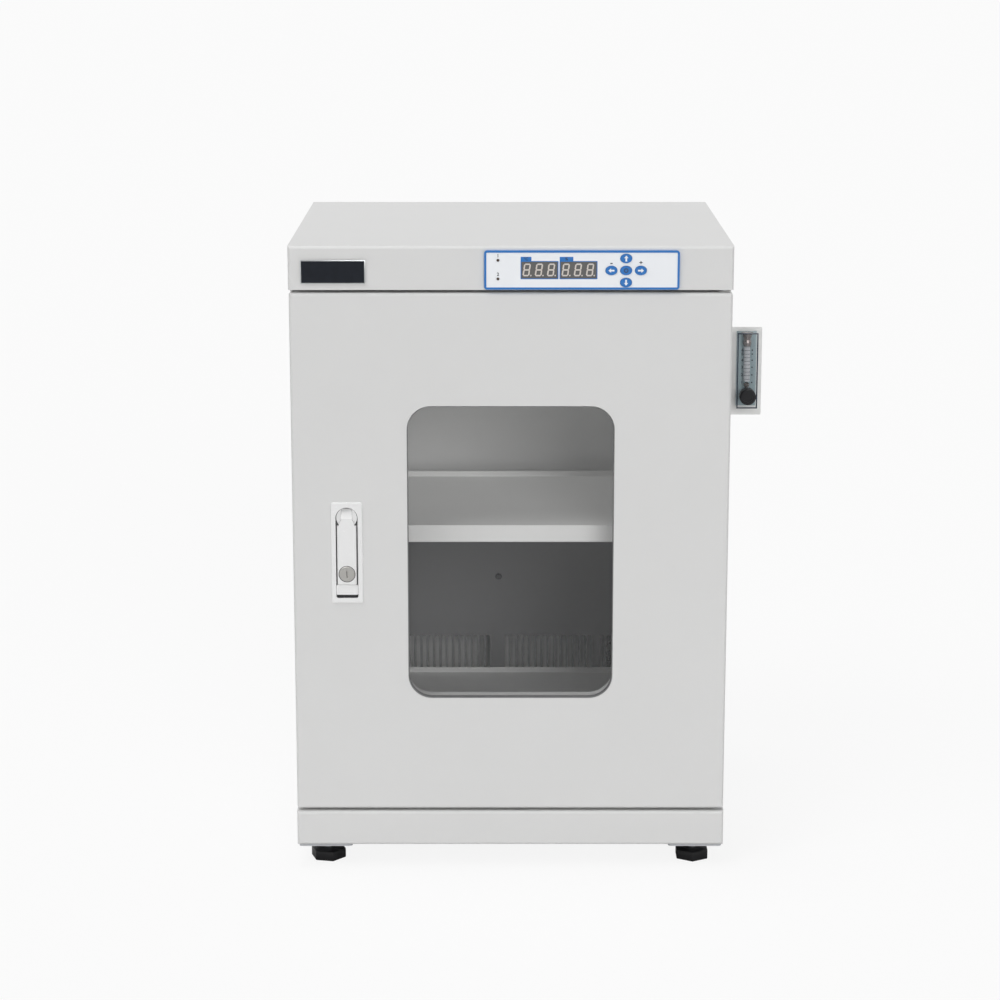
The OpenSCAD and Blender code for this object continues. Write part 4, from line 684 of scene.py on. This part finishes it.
def turned_piece(points, steps=32):
    """A piece turned about the tube's axis from its outline, given as radius and height."""
    bpy.ops.object.select_all(action="DESELECT")
    bpy.ops.mesh.primitive_plane_add(size=0.001, location=(0, 0, 0))
    obj = bpy.context.object
    bpy.ops.object.mode_set(mode="EDIT")
    bpy.ops.mesh.select_mode(type="VERT")
    bpy.ops.mesh.select_all(action="SELECT")
    bpy.ops.mesh.merge(type="CENTER")
    first = Vector((points[0][0], 0, points[0][1]))
    bpy.ops.transform.translate(value=first)
    for (r0, z0), (r1, z1) in zip(points, points[1:]):
        bpy.ops.mesh.extrude_region_move(TRANSFORM_OT_translate={"value": (r1 - r0, 0, z1 - z0)})
    bpy.ops.mesh.select_all(action="SELECT")
    bpy.ops.mesh.spin(steps=steps, angle=math.radians(360), center=(0, 0, 0), axis=(0, 0, 1))
    bpy.ops.mesh.select_all(action="SELECT")
    bpy.ops.mesh.remove_doubles(threshold=0.000005)
    bpy.ops.mesh.normals_make_consistent(inside=False)
    bpy.ops.object.mode_set(mode="OBJECT")
    obj.data.transform(Matrix.Translation((mid_x, tube_y, 0)))
    bpy.ops.object.shade_smooth_by_angle(angle=sharp_edge)
    return obj


tube_glass = finish_of("tube_glass", (0.62, 0.62, 0.65), shade=0.7, rough=(0.08, 0.14), grain=400.0,
                       drift=160.0, bump=0.1, depth=0.0001, coat=0.5)
tube = turned_piece([(bore_r, tube_low), (tube_r, tube_low), (tube_r, tube_high), (bore_r, tube_high),
                     (bore_r, tube_low)])
fitted(tube, "scale_tube", tube_glass, "cabinet")
fitting_metal = finish_of("fitting_metal", (0.30, 0.26, 0.25), shade=0.45, rough=(0.12, 0.25),
                          metallic=0.85, grain=500.0, drift=260.0, bump=0.3, depth=0.0003)
fitting = turned_piece([(0, 0.5595), (bore_r, 0.5595), (bore_r, 0.5566), (0.0036, 0.5566),
                        (0.0046, 0.5590), (0.0044, 0.5612), (0.0036, 0.5628), (0.0037, 0.5646),
                        (0.0050, 0.5680), (0.0061, 0.5708), (0, 0.5710)])
fitted(fitting, "tube_fitting", fitting_metal, "cabinet")
marks = []
for step in range(mark_count):
    height = tube_low + mark_first + step * mark_pitch
    marks.append(turned_piece([(mark_in, height), (mark_out, height), (mark_out, height + mark_h),
                               (mark_in, height + mark_h), (mark_in, height)], 24))
dot = pointed_bar(dot_len, 0)
for height, number in ((0.5534, "6"), (0.5493, "5"), (0.5428, "4"), (0.5354, "3"), (0.5273, "2"),
                       (0.5193, "1")):
    marks.append(twin(dot, Matrix.Translation((mid_x + dot_x, body_low.y - dot_proud, height))))
    marks.append(lettered(number, number_size,
                          Vector((mid_x - number_x, body_low.y - number_proud, height))))
bpy.data.objects.remove(dot)
fitted(joined(marks), "scale_marks", dark_print, "cabinet")


# ---- Floor, lamps and camera ----
# A white floor that keeps the cabinet's soft shadow, an even white surround, a lamp overhead, one
# over the left shoulder, a low one and a faint one for the chamber, and a long lens far away.

bpy.ops.object.select_all(action="DESELECT")
bpy.ops.mesh.primitive_plane_add(size=60, location=(0, 0, 0))
floor = bpy.context.object
floor.name = "floor"
floor_mat = bpy.data.materials.new("pale_floor")
floor_mat.use_nodes = True
tree = floor_mat.node_tree
shader = tree.nodes["Principled BSDF"]
shader.inputs["Base Color"].default_value = (0.8, 0.8, 0.8, 1)
shader.inputs["Roughness"].default_value = 0.9
shader.inputs["Specular IOR Level"].default_value = 0.0
glow = tree.nodes.new("ShaderNodeEmission")
glow.inputs["Color"].default_value = (1, 1, 1, 1)
path = tree.nodes.new("ShaderNodeLightPath")
share = tree.nodes.new("ShaderNodeMath")
share.operation = "MULTIPLY"
share.inputs[1].default_value = 0.88
blend = tree.nodes.new("ShaderNodeMixShader")
tree.links.new(path.outputs["Is Camera Ray"], share.inputs[0])
tree.links.new(share.outputs["Value"], blend.inputs["Fac"])
tree.links.new(shader.outputs["BSDF"], blend.inputs[1])
tree.links.new(glow.outputs["Emission"], blend.inputs[2])
tree.links.new(blend.outputs["Shader"], tree.nodes["Material Output"].inputs["Surface"])
floor.data.materials.append(floor_mat)

world = bpy.data.worlds.new("studio")
bpy.context.scene.world = world
world.use_nodes = True
tree = world.node_tree
surround = tree.nodes["Background"]
surround.inputs["Color"].default_value = (1, 1, 1, 1)
path = tree.nodes.new("ShaderNodeLightPath")
seen = tree.nodes.new("ShaderNodeMath")
seen.operation = "MAXIMUM"
level = tree.nodes.new("ShaderNodeMapRange")
level.inputs["To Min"].default_value = 0.30
level.inputs["To Max"].default_value = 1.0
tree.links.new(path.outputs["Is Camera Ray"], seen.inputs[0])
tree.links.new(path.outputs["Is Glossy Ray"], seen.inputs[1])
tree.links.new(seen.outputs["Value"], level.inputs["Value"])
tree.links.new(level.outputs["Result"], surround.inputs["Strength"])


def broad_lamp(name, toward, strength, spread):
    """A far lamp that shines along the line from toward to the origin."""
    lamp = bpy.data.lights.new(name, "SUN")
    lamp.energy = strength * math.pi
    lamp.angle = math.radians(spread)
    obj = bpy.data.objects.new(name, lamp)
    bpy.context.scene.collection.objects.link(obj)
    obj.rotation_euler = Vector(toward).to_track_quat("Z", "Y").to_euler()


broad_lamp("overhead_lamp", (-0.1, 0.05, 1.0), 0.23, 20)
broad_lamp("shoulder_lamp", (-0.4, -0.42, 0.81), 0.28, 30)
broad_lamp("front_lamp", (0.25, -0.93, 0.25), 0.33, 25)
glow_lamp = bpy.data.lights.new("chamber_lamp", "AREA")
glow_lamp.shape = "RECTANGLE"
glow_lamp.size, glow_lamp.size_y = 0.34, 0.26
glow_lamp.energy = 0.11
glow = bpy.data.objects.new("chamber_lamp", glow_lamp)
bpy.context.scene.collection.objects.link(glow)
ceiling_low, ceiling_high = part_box("ceiling_panel")
glow.location = ((ceiling_low.x + ceiling_high.x) / 2, 0.03, ceiling_low.z - 0.004)
glow.visible_camera = False

eye = bpy.data.cameras.new("camera")
camera = bpy.data.objects.new("camera", eye)
bpy.context.scene.collection.objects.link(camera)
camera.location = (-0.0290, -2.8987, 1.0177)
camera.rotation_euler = (math.radians(77.18), 0, 0)
eye.lens = 95.98
eye.sensor_width = 36
bpy.context.scene.camera = camera
bpy.context.scene.view_settings.view_transform = "Standard"

bpy.context.view_layer.update()
